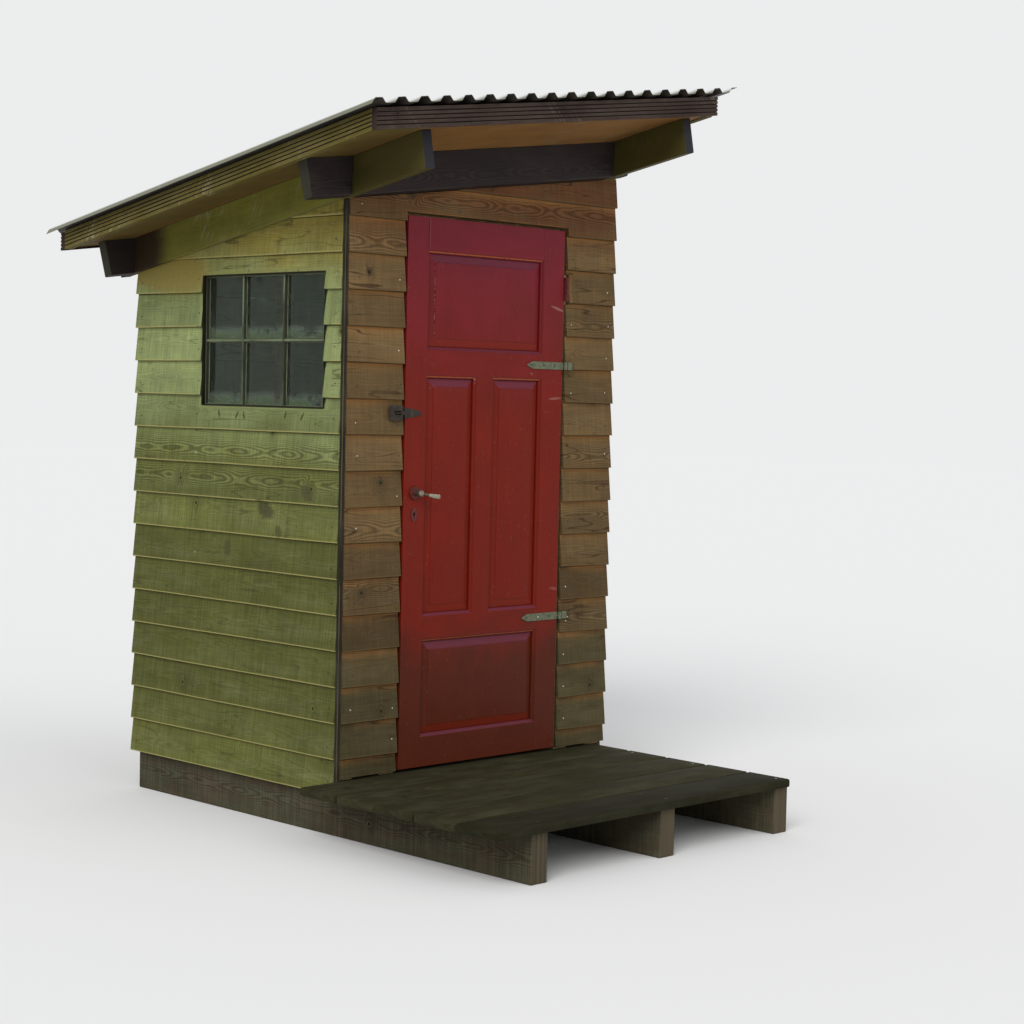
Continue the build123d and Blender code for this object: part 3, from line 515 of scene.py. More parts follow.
def lever_shade_marks():
    """Painted shade round the lever's hub and neck."""
    low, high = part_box("lever_handle")
    z = (low.z + high.z) / 2
    return [
        ((low.x + 0.0075, low.y + 0.022, z), (0.030, 0.026, 0.030), (0.030, 0.022, 0.014), 0.85),
        ((low.x + 0.0300, low.y + 0.006, z), (0.022, 0.040, 0.022), (0.050, 0.042, 0.024), 0.80),
    ]


def timbers(tone):
    """Settings of the timber finishes, from the scene's colours."""
    olive, brown = tone["olive"], tone["brown"]
    return {
        "olive_boards": dict(
            pale=tone["olive_low"], dark=(0.055, 0.050, 0.018), knots=0.02, rings=0.70, saw=0.65,
            grey=(0.185, 0.205, 0.100), weather=0.22, lip_highlight=(0.34, 0.30, 0.11), figure=0.3,
            wisps=0.6, marks=olive_marks(),
            levels=(
                (1.06, towards(tone["olive_low"], olive, 0.08)), (1.42, olive),
                (2.02, tone["olive_high"]),
            ),
        ),
        "brown_boards": dict(
            pale=tone["brown_low"], dark=(0.044, 0.025, 0.012), knots=0.07, rings=0.62, saw=0.42,
            grey=(0.098, 0.076, 0.040), weather=0.35, warm=tone["warm"], figure=0.55, wisps=0.85,
            lip_highlight=(0.110, 0.072, 0.032), lap_shadow=0.35,
            # Darker towards the deck: painted shade on the low boards.
            levels=(
                (0.62, darker(brown, 0.64)), (1.00, darker(brown, 0.95)),
                (1.75, darker(brown, 1.03)), (2.19, tone["brown_high"]),
            ),
        ),
        "framing": dict(pale=tone["frame_wood"], dark=(0.16, 0.09, 0.04), knots=0.04, rings=0.5, saw=0.8),
        "beam_stain": dict(
            pale=tone["beam"], dark=(0.008, 0.006, 0.005), knots=0.02, rings=0.4, saw=0.2,
            roughness=0.62, relief=0.0005, ends=(0.031, 0.029, 0.018), worn=(0.050, 0.043, 0.030),
            grey=(0.040, 0.032, 0.026), weather=0.35,
        ),
        "corner_stain": dict(
            pale=(0.018, 0.014, 0.008), dark=(0.008, 0.006, 0.004), knots=0.0, rings=0.3, saw=0.3,
            roughness=0.7, worn=(0.075, 0.068, 0.040), grey=(0.045, 0.040, 0.026), weather=0.6,
        ),
        "side_beam_stain": dict(
            pale=tone["side_beam"], dark=(0.030, 0.024, 0.009), knots=0.02, rings=0.4, saw=0.25,
            roughness=0.66, relief=0.0005, ends=(0.022, 0.021, 0.025), worn=(0.13, 0.115, 0.050),
            grey=(0.150, 0.142, 0.032), weather=0.5, webs=0.6,
            # Painted shadow: the side beams darken towards the back, and towards the front by the cross
            # beam.
            fades=(
                (1, 0.36, 0.50, (0.022, 0.012, 0.008), 0.95),
                (1, -0.58, -0.66, (0.052, 0.042, 0.012), 0.9),
            ),
        ),
        "soffit_board": dict(
            pale=tone["soffit"], dark=(0.11, 0.045, 0.014), knots=0.0, rings=0.5, saw=0.1,
            spread=0.08, roughness=0.72, webs=0.4,
            fades=((0, -0.66, -0.76, (0.090, 0.066, 0.018), 0.85),),
        ),
        "front_edge_board": dict(
            pale=tone["front_edge"], dark=(0.016, 0.010, 0.009), knots=0.02, rings=0.4, saw=0.2,
            roughness=0.68, worn=(0.095, 0.072, 0.058), groove_shade=(0.010, 0.006, 0.005),
            grey=(0.056, 0.042, 0.034), weather=0.5, webs=0.3,
        ),
        "side_edge_board": dict(
            pale=tone["side_edge"], dark=(0.024, 0.018, 0.009), knots=0.02, rings=0.4, saw=0.2,
            roughness=0.70, worn=(0.215, 0.175, 0.080), groove_shade=(0.014, 0.010, 0.005),
            grey=(0.140, 0.116, 0.044), weather=0.5, webs=0.7,
        ),
        "deck_board": dict(
            pale=tone["deck"], dark=(0.014, 0.011, 0.007), knots=0.03, rings=0.6, saw=0.3,
            relief=0.0012, worn=(0.066, 0.060, 0.034), spread=0.30,
            grey=(0.036, 0.035, 0.018), weather=0.6,
        ),
        "bearer_timber": dict(
            pale=(0.070, 0.055, 0.034), dark=(0.028, 0.021, 0.013), knots=0.03, rings=0.5,
            saw=0.9, relief=0.0014, grey=(0.070, 0.075, 0.042), weather=0.7,
        ),
        "window_wood": dict(
            pale=tone["window"], dark=(0.014, 0.016, 0.010), knots=0.0, rings=0.3, saw=0.2,
            # The worn tint here also paints a highlight on the outer faces of the glazing bars.
            roughness=0.66, worn=(0.135, 0.160, 0.092), spread=0.05,
            grey=(0.050, 0.058, 0.034), weather=0.4,
        ),
        "window_lining": dict(
            pale=(0.014, 0.010, 0.006), dark=(0.008, 0.007, 0.005), knots=0.0, rings=0.3, saw=0.4,
            roughness=0.8, grey=(0.032, 0.028, 0.018), weather=0.5,
        ),
    }


def metals(tone):
    """Settings of the finishes of ironmongery and putty, from the scene's colours."""
    # Painted shade: black inside the keyhole.
    keyhole = ((-0.349, -0.621, 1.134), (0.0070, 0.04, 0.0110), (0.004, 0.002, 0.002), 0.90)
    zinc = dict(
        tone=tone["zinc"], patch_tone=(0.110, 0.105, 0.065), metallic=0.15, roughness=0.60, patches=0.4
    )
    return {
        "zinc": zinc,
        "zinc_plate": dict(zinc, marks=plate_shade_marks()),
        "red_iron": dict(
            tone=(0.082, 0.014, 0.011), patch_tone=(0.150, 0.048, 0.034), metallic=0.0,
            roughness=0.50, patches=0.45, marks=[keyhole],
        ),
        "black_iron": dict(
            tone=tone["iron"], patch_tone=(0.075, 0.050, 0.032), metallic=0.1, roughness=0.60,
            patches=0.7, fine=140.0,
        ),
        "lever_grey": dict(
            tone=(0.235, 0.215, 0.155), patch_tone=(0.080, 0.060, 0.036), metallic=0.2,
            roughness=0.52, patches=0.60, fine=160.0, marks=lever_shade_marks(),
        ),
        "putty": dict(
            tone=(0.110, 0.125, 0.075), patch_tone=(0.045, 0.050, 0.030), metallic=0.0,
            roughness=0.8, patches=0.8, fine=140.0,
        ),
    }


finishes = {}


def make_finishes():
    """Makes every finish once from the scene's colours."""
    colours = bpy.context.scene.outhouse_colours
    tone = {key: tuple(getattr(colours, key)) for key in OuthouseColours.__annotations__}
    for name, settings in timbers(tone).items():
        finishes[name] = timber_finish(name, **settings)
    for name, settings in metals(tone).items():
        finishes[name] = metal_finish(name, **settings)
    chips = (0.36, 0.100, 0.036)
    finishes["door_paint"] = paint_finish(
        "door_paint", tone["door_low"], tone["door"], tone["door_high"], chips
    )
    finishes["dark_nails"] = nail_finish("dark_nails", 0.08)
    finishes["mixed_nails"] = nail_finish("mixed_nails", 0.45)
    finishes["sheet"] = sheet_finish("sheet", tone["sheet"], tone["moss"])
    finishes["glass"] = glass_finish("glass")


def put_piece(data, name, finish, body, nodes=(), sharp=32.0):
    """Makes a piece from a mesh, with its finish, body and the nodes it stands for."""
    if not finishes:
        make_finishes()
    data.materials.append(finishes[finish])
    data.shade_smooth()
    data.set_sharp_from_angle(angle=math.radians(sharp))
    piece = bpy.data.objects.new(name, data)
    bpy.context.scene.collection.objects.link(piece)
    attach(piece, body)
    if nodes:
        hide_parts(*nodes)
    return piece


class Stock:
    """Gathers the lengths of one piece into a mesh, with grain coordinates and tones."""

    def __init__(self, seed):
        self.mesh = bmesh.new()
        self.grain = self.mesh.loops.layers.uv.new("grain")
        self.board = self.mesh.verts.layers.float_color.new("board")
        self.draw = random.Random(seed)
        self.figure = (0.0, 1.0)

    def ring(self, places, tone, rise, second):
        """Corners at some places, each with the tone, its own rise and the second number."""
        corners = []
        for place, up in zip(places, rise):
            corner = self.mesh.verts.new(place)
            corner[self.board] = (tone, up, second, 1.0)
            corners.append(corner)
        return corners

    def skin(self, sections, along, across, rise=None):
        """Skins one length over its cross sections, from end to end."""
        shift = self.draw.uniform(0, 40)
        tone, second = self.draw.random(), self.draw.uniform(*self.figure)
        rise = rise or [FACE] * len(sections[0])
        rings = [self.ring(section, tone, rise, second) for section in sections]
        count = len(rings[0])
        spans = zip(rings, rings[1:], along, along[1:])
        for near, far, near_u, far_u in spans:
            for number in range(count):
                after = (number + 1) % count
                corners = (near[number], near[after], far[after], far[number])
                face = self.mesh.faces.new(corners)
                v, next_v = across[number], across[number + 1]
                places = ((near_u, v), (near_u, next_v), (far_u, next_v), (far_u, v))
                for loop, (u, v) in zip(face.loops, places):
                    loop[self.grain].uv = (u + shift, v)
        for ring, u in ((rings[0], along[0]), (rings[-1], along[-1])):
            face = self.mesh.faces.new(ring)
            for number, loop in enumerate(face.loops):
                loop[self.grain].uv = (u + shift + 0.3 * across[number], across[number])

    def plank(self, start, end, width_way, height_way, width, height, rounding, steps=1):
        """A straight plank with rounded edges and eased ends, between its ends' middles."""
        run = end - start
        total = run.length
        ease = min(rounding, total / 4)
        marks = [(0.0, ease), (ease * 0.35, ease * 0.35), (ease, 0.0)]
        spots = marks + [(ease + (total - 2 * ease) * step / steps, 0.0) for step in range(1, steps)]
        spots += [(total - u, inset) for u, inset in reversed(marks)]
        # One draw is passed over, so that each plank keeps its tone
        self.draw.uniform(0, 90)
        sections = []
        for u, inset in spots:
            middle = start + run * (u / total)
            outline = rounded_section(width - 2 * inset, height - 2 * inset, rounding)
            sections.append([middle + width_way * a + height_way * b for a, b in outline])
        across = face_places(rounded_section(width, height, rounding), width, height)
        self.skin(sections, [u for u, _ in spots], across)

    def piece(self, name, finish, body, slot, nodes=(), sharp=32.0):
        bmesh.ops.recalc_face_normals(self.mesh, faces=self.mesh.faces)
        data = bpy.data.meshes.new(name)
        self.mesh.to_mesh(data)
        self.mesh.free()
        return put_piece(data, name, finish, body, nodes, sharp)


def rounded_section(width, height, radius, steps=2):
    """Corners of a rounded rectangle about its middle."""
    radius = min(radius, width / 2.01, height / 2.01)
    points = []
    for number, (sx, sy) in enumerate(((1, -1), (1, 1), (-1, 1), (-1, -1))):
        for step in range(steps + 1):
            angle = math.radians(-90 + 90 * number + 90 * step / steps)
            points.append((
                sx * (width / 2 - radius) + radius * math.cos(angle),
                sy * (height / 2 - radius) + radius * math.sin(angle),
            ))
    return points


def face_places(outline, width, height):
    """Place across the grain of each corner of a section, from the middle of its face."""
    places = []
    for a, b in outline:
        places.append(a if abs(b) * width > abs(a) * height else b + math.copysign(width, a))
    return places + [places[0]]


def circle(middle, side, up, radius, count):
    """Corners round a middle."""
    angles = [math.tau * number / count for number in range(count)]
    return [middle + side * (radius * math.cos(a)) + up * (radius * math.sin(a)) for a in angles]


def islands(mesh):
    """The separate solids of a mesh, as lists of faces, in the order of the mesh."""
    seen, groups = set(), []
    for first in mesh.faces:
        if first in seen:
            continue
        seen.add(first)
        group, waiting = [], [first]
        while waiting:
            face = waiting.pop()
            group.append(face)
            for edge in face.edges:
                for other in edge.link_faces:
                    if other not in seen:
                        seen.add(other)
                        waiting.append(other)
        groups.append(group)
    return groups


def eased_mesh(node, width):
    """A mesh of a frame piece with its edges eased by a width."""
    mesh = bmesh.new()
    mesh.from_mesh(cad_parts[node].data)
    bmesh.ops.remove_doubles(mesh, verts=mesh.verts, dist=1e-5)
    bmesh.ops.dissolve_limit(
        mesh, angle_limit=math.radians(0.6), verts=list(mesh.verts), edges=list(mesh.edges)
    )
    sharp = [
        edge for edge in mesh.edges
        if len(edge.link_faces) == 2 and edge.calc_face_angle(0.0) > math.radians(35.0)
    ]
    bmesh.ops.bevel(
        mesh, geom=sharp, offset=width, segments=2, affect="EDGES", profile=0.5, clamp_overlap=True
    )
    return mesh


def eased_copy(
    node, finish, grain, width, seed, body="cabin", ending="_eased", grooved=None
):
    """A copy of a frame piece with eased edges, grain coordinates and a tone for each solid."""
    mesh = eased_mesh(node, width)
    draw = random.Random(seed)
    uv = mesh.loops.layers.uv.new("grain")
    board = mesh.loops.layers.float_color.new("board")
    grain = Vector(grain).normalized()
    side = grain.orthogonal().normalized() if abs(grain.z) >= 0.9 else grain.cross(UP).normalized()
    over = grain.cross(side).normalized()
    for group in islands(mesh):
        corners = {corner for face in group for corner in face.verts}
        middle = sum((corner.co for corner in corners), Vector()) / len(corners)
        tone, second, shift = draw.random(), draw.random(), draw.uniform(0, 40)
        if grooved:
            facing = [face for face in group if face.normal.dot(grooved) > 0.8]
            outward = max(facing, key=lambda face: face.calc_area()).normal
            outmost = max(corner.co.dot(outward) for corner in corners)
        for face in group:
            along, sideways, upward = (abs(face.normal.dot(way)) for way in (grain, side, over))
            kind = FACE
            if along > 0.9:
                kind = END
            elif face.calc_area() < 0.02 and max(along, sideways, upward) < 0.97:
                kind = EDGE
            # Faces in the grooves are marked, so that the finish paints shade in them.
            if grooved and kind < END:
                behind = outmost - face.calc_center_median().dot(outward)
                if 0.0014 < behind < 0.006 and face.normal.dot(outward) > -0.2:
                    kind = GROOVE
            way = over if sideways > upward else side
            for loop in face.loops:
                place = loop.vert.co - middle
                loop[uv].uv = (place.dot(grain) + shift, place.dot(way))
                loop[board] = (tone, kind, second, 1.0)
    name = node + ending
    data = bpy.data.meshes.new(name)
    mesh.to_mesh(data)
    mesh.free()
    put_piece(data, name, finish, body, (node,), 20.0)


def heads(stock, places, way, radius, height):
    """Low domed heads of nails or screws, standing on a surface that faces one way."""
    way = Vector(way).normalized()
    side = way.orthogonal().normalized()
    up = way.cross(side)
    rings = ((1.0, -0.25), (1.0, 0.35), (0.72, 0.85), (0.3, 1.0))
    for place in places:
        grown = radius * stock.draw.uniform(0.85, 1.12)
        sections = [
            circle(Vector(place) + way * (lift * height), side, up, grown * share, 8)
            for share, lift in rings
        ]
        stock.skin(sections, [0, 0.001, 0.002, 0.003], [0.001 * n for n in range(9)])


def board_out(sizes, up):
    """How far a lap board's face stands out at a height above its lower edge."""
    return sizes.butt - (sizes.butt - sizes.tip) * up / sizes.exposure


def lap_board(stock, sizes, place, start, end, butt, low):
    """One lap board with its edge wandering a little, from start to end along the wall."""
    first = max(0.0, low - butt)
    if first > sizes.exposure - 0.004:
        return
    cut = first > 0.001
    seat, under, ease, step_length = sizes.tip + 0.0010, 0.0125, 0.0016, 0.05
    reach = sizes.exposure + 0.012
    points = [(0.0 if cut else seat, first), (board_out(sizes, first) - ease, first)]
    for share in (ease / sizes.exposure, 0.12, 0.35, 0.6, 0.85, 1.0):
        up = first + (sizes.exposure - first) * share
        points.append((board_out(sizes, up), up))
    points += [(sizes.tip - 0.0004, reach), (0.0, reach)]
    if not cut:
        points += [(0.0, under + 0.0010), (seat, under + 0.0005)]
    heart = stock.draw.uniform(0.30, 0.75) * sizes.exposure
    across = [up - heart for _, up in points]
    across.append(across[0])
    rise = [min(1.0, up / sizes.exposure) for _, up in points]
    offset = stock.draw.uniform(0, 60)
    tilt = stock.draw.uniform(-0.8, 0.8) * sizes.wander
    ends = (start + stock.draw.uniform(0.0, 0.0012), end - stock.draw.uniform(0.0, 0.0012))
    count = max(2, math.ceil((ends[1] - ends[0]) / step_length))
    sections, along = [], []
    for step in range(count + 1):
        s = ends[0] + (ends[1] - ends[0]) * step / count
        stray = sizes.wander * noise.noise(Vector((s * 2.3, offset, 0.5)))
        stray += tilt * (2 * step / count - 1)
        cup = 0.0007 * noise.noise(Vector((s * 3.7, offset, 7.5)))
        section = []
        for out, up in points:
            fade = 1 - min(1.0, up / sizes.exposure)
            hang = 0.0 if cut or (up > under and out <= seat) else stray * fade
            push = cup * fade if out > seat else 0.0
            section.append(place(s, min(out + push, sizes.butt), butt + up + hang))
        sections.append(section)
        along.append(s)
    stock.skin(sections, along, across, rise)


def trim_to_roof(mesh):
    """Cuts a mesh off along the underside of the roof beams."""
    geometry = list(mesh.verts) + list(mesh.edges) + list(mesh.faces)
    corner = Vector((LEFT, FRONT, EAVES))
    cut = bmesh.ops.bisect_plane(
        mesh, geom=geometry, plane_co=corner, plane_no=ROOF_NORMAL, clear_outer=True
    )
    open_edges = [item for item in cut["geom_cut"] if isinstance(item, bmesh.types.BMEdge)]
    bmesh.ops.edgeloop_fill(mesh, edges=open_edges)


def boarded_wall(
    sizes, side, place, stretches, nail_way, wood, nail_finish, slot, nodes, breaks=None, figured=()
):
    """A wall of lap boards and its nails, in stretches of start, end, low, high and studs."""
    seed = sizes.seed + ("front", "left", "right", "back").index(side)
    stock, nails = Stock(seed), Stock(seed + 50)
    for start, end, low, high, studs in stretches:
        course = math.floor((low - SIDING_LOW) / sizes.exposure + 1e-6)
        while SIDING_LOW + course * sizes.exposure < high:
            butt = SIDING_LOW + course * sizes.exposure
            joints = [start, *(breaks or {}).get(course, ()), end]
            stock.figure = (0.85, 1.0) if course in figured else (0.0, 0.62)
            for near, far in zip(joints, joints[1:]):
                lap_board(stock, sizes, place, near, far, butt, low)
            for stud in studs:
                up = 0.045 + stock.draw.uniform(-0.010, 0.010)
                s = stud + stock.draw.uniform(-0.007, 0.007)
                spot = place(s, board_out(sizes, up), butt + up)
                if butt + up > low + 0.01 and spot.z < roof_height(spot.x, spot.y) - 0.015:
                    heads(nails, [spot], nail_way, sizes.nail, 0.0012)
            course += 1
    trim_to_roof(stock.mesh)
    wall = stock.piece(side + "_boards", wood, "cabin", slot, nodes)
    nails.piece(side + "_board_nails", nail_finish, "cabin", "zinc")
    return wall


def cut_opening(piece, low, high):
    """Cuts a square hole through a finished piece."""
    box = bmesh.new()
    bmesh.ops.create_cube(box, size=1.0)
    middle, reach = (Vector(low) + Vector(high)) / 2, Vector(high) - Vector(low)
    box.transform(Matrix.Translation(middle) @ Matrix.Diagonal((*reach, 1.0)))
    data = bpy.data.meshes.new("opening")
    box.to_mesh(data)
    box.free()
    cutter = bpy.data.objects.new("opening", data)
    bpy.context.scene.collection.objects.link(cutter)
    modifier = piece.modifiers.new("opening", "BOOLEAN")
    modifier.operation = "DIFFERENCE"
    modifier.solver = "EXACT"
    modifier.object = cutter
    bpy.context.view_layer.update()
    cut = piece.evaluated_get(bpy.context.evaluated_depsgraph_get())
    shaped = bpy.data.meshes.new_from_object(cut)
    piece.modifiers.remove(modifier)
    old = piece.data
    piece.data = shaped
    shaped.name = old.name
    bpy.data.meshes.remove(old)
    bpy.data.objects.remove(cutter)
    bpy.data.meshes.remove(data)


def window_edges():
    """The opening of the window along the wall and in height."""
    low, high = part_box("window_frame")
    lap = 0.0207
    return (low.y + lap, high.y - lap), (low.z + lap, high.z - lap)


def build_siding(sizes):
    """Lap boards and nails on the four walls."""
    top = roof_height(RIGHT, FRONT)
    door_course = math.floor((DOOR_TOP - SIDING_LOW) / sizes.exposure)
    over = SIDING_LOW + door_course * sizes.exposure
    beside = over - 0.5 * sizes.exposure
    outer_left, outer_right = LEFT_BACK + 0.050, RIGHT - 0.040
    wall = boarded_wall(
        sizes, "front", lambda s, out, z: Vector((s, FRONT_BACK - out, z)),
        [
            (LEFT_BACK, DOOR_LEFT, FRONT_LOW, beside, (outer_left, DOOR_LEFT - 0.022)),
            (DOOR_RIGHT, RIGHT, FRONT_LOW, beside, (DOOR_RIGHT + 0.030, outer_right)),
            (LEFT_BACK, RIGHT, over, top, (outer_left, -0.15, 0.20, outer_right)),
        ],
        -INWARD, "brown_boards", "mixed_nails", "siding_brown",
        ("front_wall_left", "front_wall_right", "front_wall_over_door"), figured=(door_course,),
    )
    outside, inside = FRONT - 0.02, FRONT_BACK + 0.01
    cut_opening(wall, (DOOR_LEFT, outside, over - 0.05), (DOOR_RIGHT, inside, DOOR_TOP))
    hinge_low, hinge_high = (corner.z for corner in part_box("old_hinge"))
    recess = 0.012
    cut_opening(
        wall, (DOOR_RIGHT - 0.01, outside, hinge_low - recess),
        (DOOR_RIGHT + recess, inside, hinge_high + recess),
    )
    (y_low, y_high), (z_low, z_high) = window_edges()
    studs = (FRONT_BACK + 0.032, y_high + 0.020, BACK - 0.040)
    wall = boarded_wall(
        sizes, "left", lambda s, out, z: Vector((LEFT_BACK - out, s, z)),
        [(FRONT_BACK, BACK, SIDING_LOW, top, studs)],
        -ACROSS, "olive_boards", "dark_nails", "siding_olive", ("left_wall",), {7: (-0.316,)}, (8, 9),
    )
    cut_opening(wall, (LEFT - 0.02, y_low, z_low), (LEFT_BACK + 0.02, y_high, z_high))
    studs = (FRONT_BACK + 0.035, 0.0, BACK - 0.035)
    boarded_wall(
        sizes, "right", lambda s, out, z: Vector((RIGHT_BACK + out, s, z)),
        [(FRONT_BACK, BACK, SIDING_LOW, top, studs)],
        ACROSS, "brown_boards", "mixed_nails", "siding_olive", ("right_wall",),
    )
    studs = (LEFT_BACK + 0.035, 0.0, RIGHT_BACK - 0.035)
    boarded_wall(
        sizes, "back", lambda s, out, z: Vector((s, BACK_BACK + out, z)),
        [(LEFT_BACK, RIGHT_BACK, SIDING_LOW, top, studs)],
        INWARD, "olive_boards", "dark_nails", "siding_olive", ("back_wall",),
    )


def build_framing():
    """Corner strip, posts, studs and the door's posts and head."""
    eased_copy("corner_strip", "corner_stain", UP, 0.0022, 11)
    timber = (
        ("corner_posts", UP, 12), ("door_post_latch", UP, 13), ("door_post_hinge", UP, 14),
        ("wall_studs", UP, 16), ("door_head", ACROSS, 17),
    )
    for node, grain, seed in timber:
        eased_copy(node, "framing", grain, 0.0015, seed)


def build_deck(sizes):
    """Bearers, step planks with their screws, and the floor boards."""
    eased_copy("bearers", "bearer_timber", INWARD, 0.004, 21)
    low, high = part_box("deck_planks")
    stock, screws = Stock(22), Stock(23)
    count, gap = 5, 0.006
    width = (high.y - low.y - gap * (count - 1)) / count
    for number in range(count):
        y, z = low.y + width / 2 + number * (width + gap), (low.z + high.z) / 2
        start = Vector((low.x + stock.draw.uniform(0, 0.006), y, z))
        end = Vector((high.x - stock.draw.uniform(0, 0.006), y, z))
        stock.plank(start, end, INWARD, UP, width - 0.001, high.z - low.z, sizes.plank_round, 20)
        spots = [
            (x + screws.draw.uniform(-0.004, 0.004), y + off, high.z + 0.0001)
            for x in (-0.6275, 0.0, 0.6135) for off in (-0.055, 0.055)
        ]
        heads(screws, spots, UP, 0.0042, 0.0006)
    stock.piece("deck_boards", "deck_board", "cabin", "deck_wood", ("deck_planks",))
    screws.piece("deck_screws", "dark_nails", "cabin", "zinc")
    low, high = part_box("floor")
    stock = Stock(24)
    count = 12
    width = (high.y - low.y) / count
    for number in range(count):
        y, z = low.y + width * (number + 0.5), (low.z + high.z) / 2
        start, end = Vector((low.x + 0.0005, y, z)), Vector((high.x - 0.0005, y, z))
        stock.plank(start, end, INWARD, UP, width - 0.0008, high.z - low.z, 0.0015)
    stock.piece("floor_boards", "deck_board", "cabin", "deck_wood", ("floor",))


def build_window(sizes):
    """Window frame, dark lining of the opening, glazing bars, putty and six panes."""
    eased_copy("window_frame", "window_wood", INWARD, 0.0012, 31)
    low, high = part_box("window_frame")
    sight = 0.0277
    y, z = (low.y + sight, high.y - sight), (low.z + sight, high.z - sight)
    columns = [y[0] + (y[1] - y[0]) * share for share in (0.348, 0.688)]
    level = (z[0] + z[1]) / 2
    build_bars(sizes, y, z, columns, level)
    build_panes(sizes, y, z, columns, level)
    build_lining()


def build_bars(sizes, y, z, columns, level):
    """Glazing bars on both sides of the glass, within the frame's sight lines."""
    out_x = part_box("window_frame")[0].x + 0.0025
    glass_x, back_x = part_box("window_glass")[0].x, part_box("window_glass")[1].x + 0.0004
    half = sizes.bar / 2
    slim = half * 0.62
    outer = (
        (glass_x, -half), (glass_x - 0.003, -half), (out_x + 0.0012, -slim - 0.0008), (out_x, -slim),
        (out_x, slim), (out_x + 0.0012, slim + 0.0008), (glass_x - 0.003, half), (glass_x, half),
    )
    deep_x = back_x + 0.0116
    inner = ((back_x, -half), (deep_x, -half), (deep_x, half), (back_x, half))
    bars = Stock(32)
    for profile in (outer, inner):
        across = [b for _, b in profile] + [profile[0][1]]
        # Painted highlight: the outer faces of the bars are marked as edges, so that they take the pale
        # worn tint.
        rise = [EDGE if x == out_x else FACE for x, _ in profile]
        for middle in columns:
            sections = [[Vector((x, middle + b, height)) for x, b in profile] for height in z]
            bars.skin(sections, z, across, rise)
        sections = [[Vector((x + 0.0006, place, level + b)) for x, b in profile] for place in y]
        bars.skin(sections, y, across, rise)
    bars.piece("window_bars", "window_wood", "cabin", "window_wood")


def build_panes(sizes, y, z, columns, level):
    """Six panes, each leaning a little, with putty round them."""
    glass_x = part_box("window_glass")[0].x
    half, hidden, thick = sizes.bar / 2, 0.007, 0.003
    panes, putty = Stock(33), Stock(34)
    edges_y = [y[0] - hidden, *columns, y[1] + hidden]
    edges_z = [z[0] - hidden, level, z[1] + hidden]
    for a, b in zip(edges_y, edges_y[1:]):
        for c, d in zip(edges_z, edges_z[1:]):
            lean = [panes.draw.uniform(0.0, 0.0007) for _ in range(4)]
            face = rectangle((a, b), (c, d), glass_x, 0.001, sideways=True)
            face = [corner + ACROSS * shift for corner, shift in zip(face, lean)]
            back = [corner + ACROSS * thick for corner in face]
            rise = [1.0, 1.0, 0.0, 0.0]
            panes.skin([face, back], [0.0, thick], [0, 0.2, 0.4, 0.6, 0.8], rise)
            inset = [half if value in columns else hidden for value in (a, b)]
            drop = [half if value == level else hidden for value in (c, d)]
            seen_y, seen_z = (a + inset[0], b - inset[1]), (c + drop[0], d - drop[1])
            profile = ((0.0, 0.0002), (0.0, 0.0024), (0.0022, 0.0002), (0.0, 0.0002))
            rings = [
                rectangle(seen_y, seen_z, glass_x - out, grow, sideways=True)
                for grow, out in profile
            ]
            ringed(putty, rings, [FACE] * 4, fill=False)
    panes.piece("window_panes", "glass", "cabin", "glass", ("window_glass",), sharp=20.0)
    putty.piece("window_putty", "putty", "cabin", "window_wood")


def build_lining():
    """Thin dark boards round the window's opening."""
    (y_low, y_high), (z_low, z_high) = window_edges()
    lining = Stock(35)
    thick = 0.003
    outside = LEFT + 0.0055
    x, wide = (outside + LEFT_BACK) / 2, LEFT_BACK - outside
    for y in (y_low + thick / 2, y_high - thick / 2):
        start, end = Vector((x, y, z_low)), Vector((x, y, z_high))
        lining.plank(start, end, ACROSS, INWARD, wide, thick, 0.0006)
    for z in (z_low + thick / 2, z_high - thick / 2):
        start, end = Vector((x, y_low + thick, z)), Vector((x, y_high - thick, z))
        lining.plank(start, end, ACROSS, UP, wide, thick, 0.0006)
    lining.piece("window_lining", "window_lining", "cabin", "window_wood")


def build_roof_timber():
    """Beams, soffit boards, grooved edge boards, battens and the bead over the right wall."""
    timber = (
        ("left_beam", "side_beam_stain", "beam_timber", DOWN_SLOPE, 0.003, 41, None),
        ("right_beam", "side_beam_stain", "beam_timber", DOWN_SLOPE, 0.003, 42, None),
        ("front_beam", "beam_stain", "beam_timber", UP_SLOPE, 0.003, 43, None),
        ("back_beam", "beam_stain", "beam_timber", UP_SLOPE, 0.003, 44, None),
        ("roof_boards", "soffit_board", "roof_board", UP_SLOPE, 0.001, 45, None),
        ("front_edge_board", "front_edge_board", "edge_board", UP_SLOPE, 0.0008, 46, -INWARD),
        ("back_edge_board", "front_edge_board", "edge_board", UP_SLOPE, 0.0008, 47, INWARD),
        ("left_edge_board", "side_edge_board", "edge_board", DOWN_SLOPE, 0.0008, 48, -ACROSS),
        ("right_edge_board", "side_edge_board", "edge_board", DOWN_SLOPE, 0.0008, 49, ACROSS),
        ("roof_battens", "framing", "frame_timber", UP_SLOPE, 0.002, 50, None),
    )
    for node, finish, slot, grain, width, seed, grooved in timber:
        eased_copy(node, finish, grain, width, seed, grooved=grooved)
    bead = Stock(51)
    near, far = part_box("right_beam")[1].x + 0.0010, RIGHT - 0.0060
    x, height = (near + far) / 2, 0.014
    start, end = (
        Vector((x, y, roof_height(x, y))) + ROOF_NORMAL * 0.0074 for y in (FRONT + 0.003, BACK - 0.003)
    )
    bead.plank(start, end, UP_SLOPE, ROOF_NORMAL, far - near, height, 0.002, 12)
    bead.piece("right_wall_bead", "side_beam_stain", "cabin", "beam_timber")


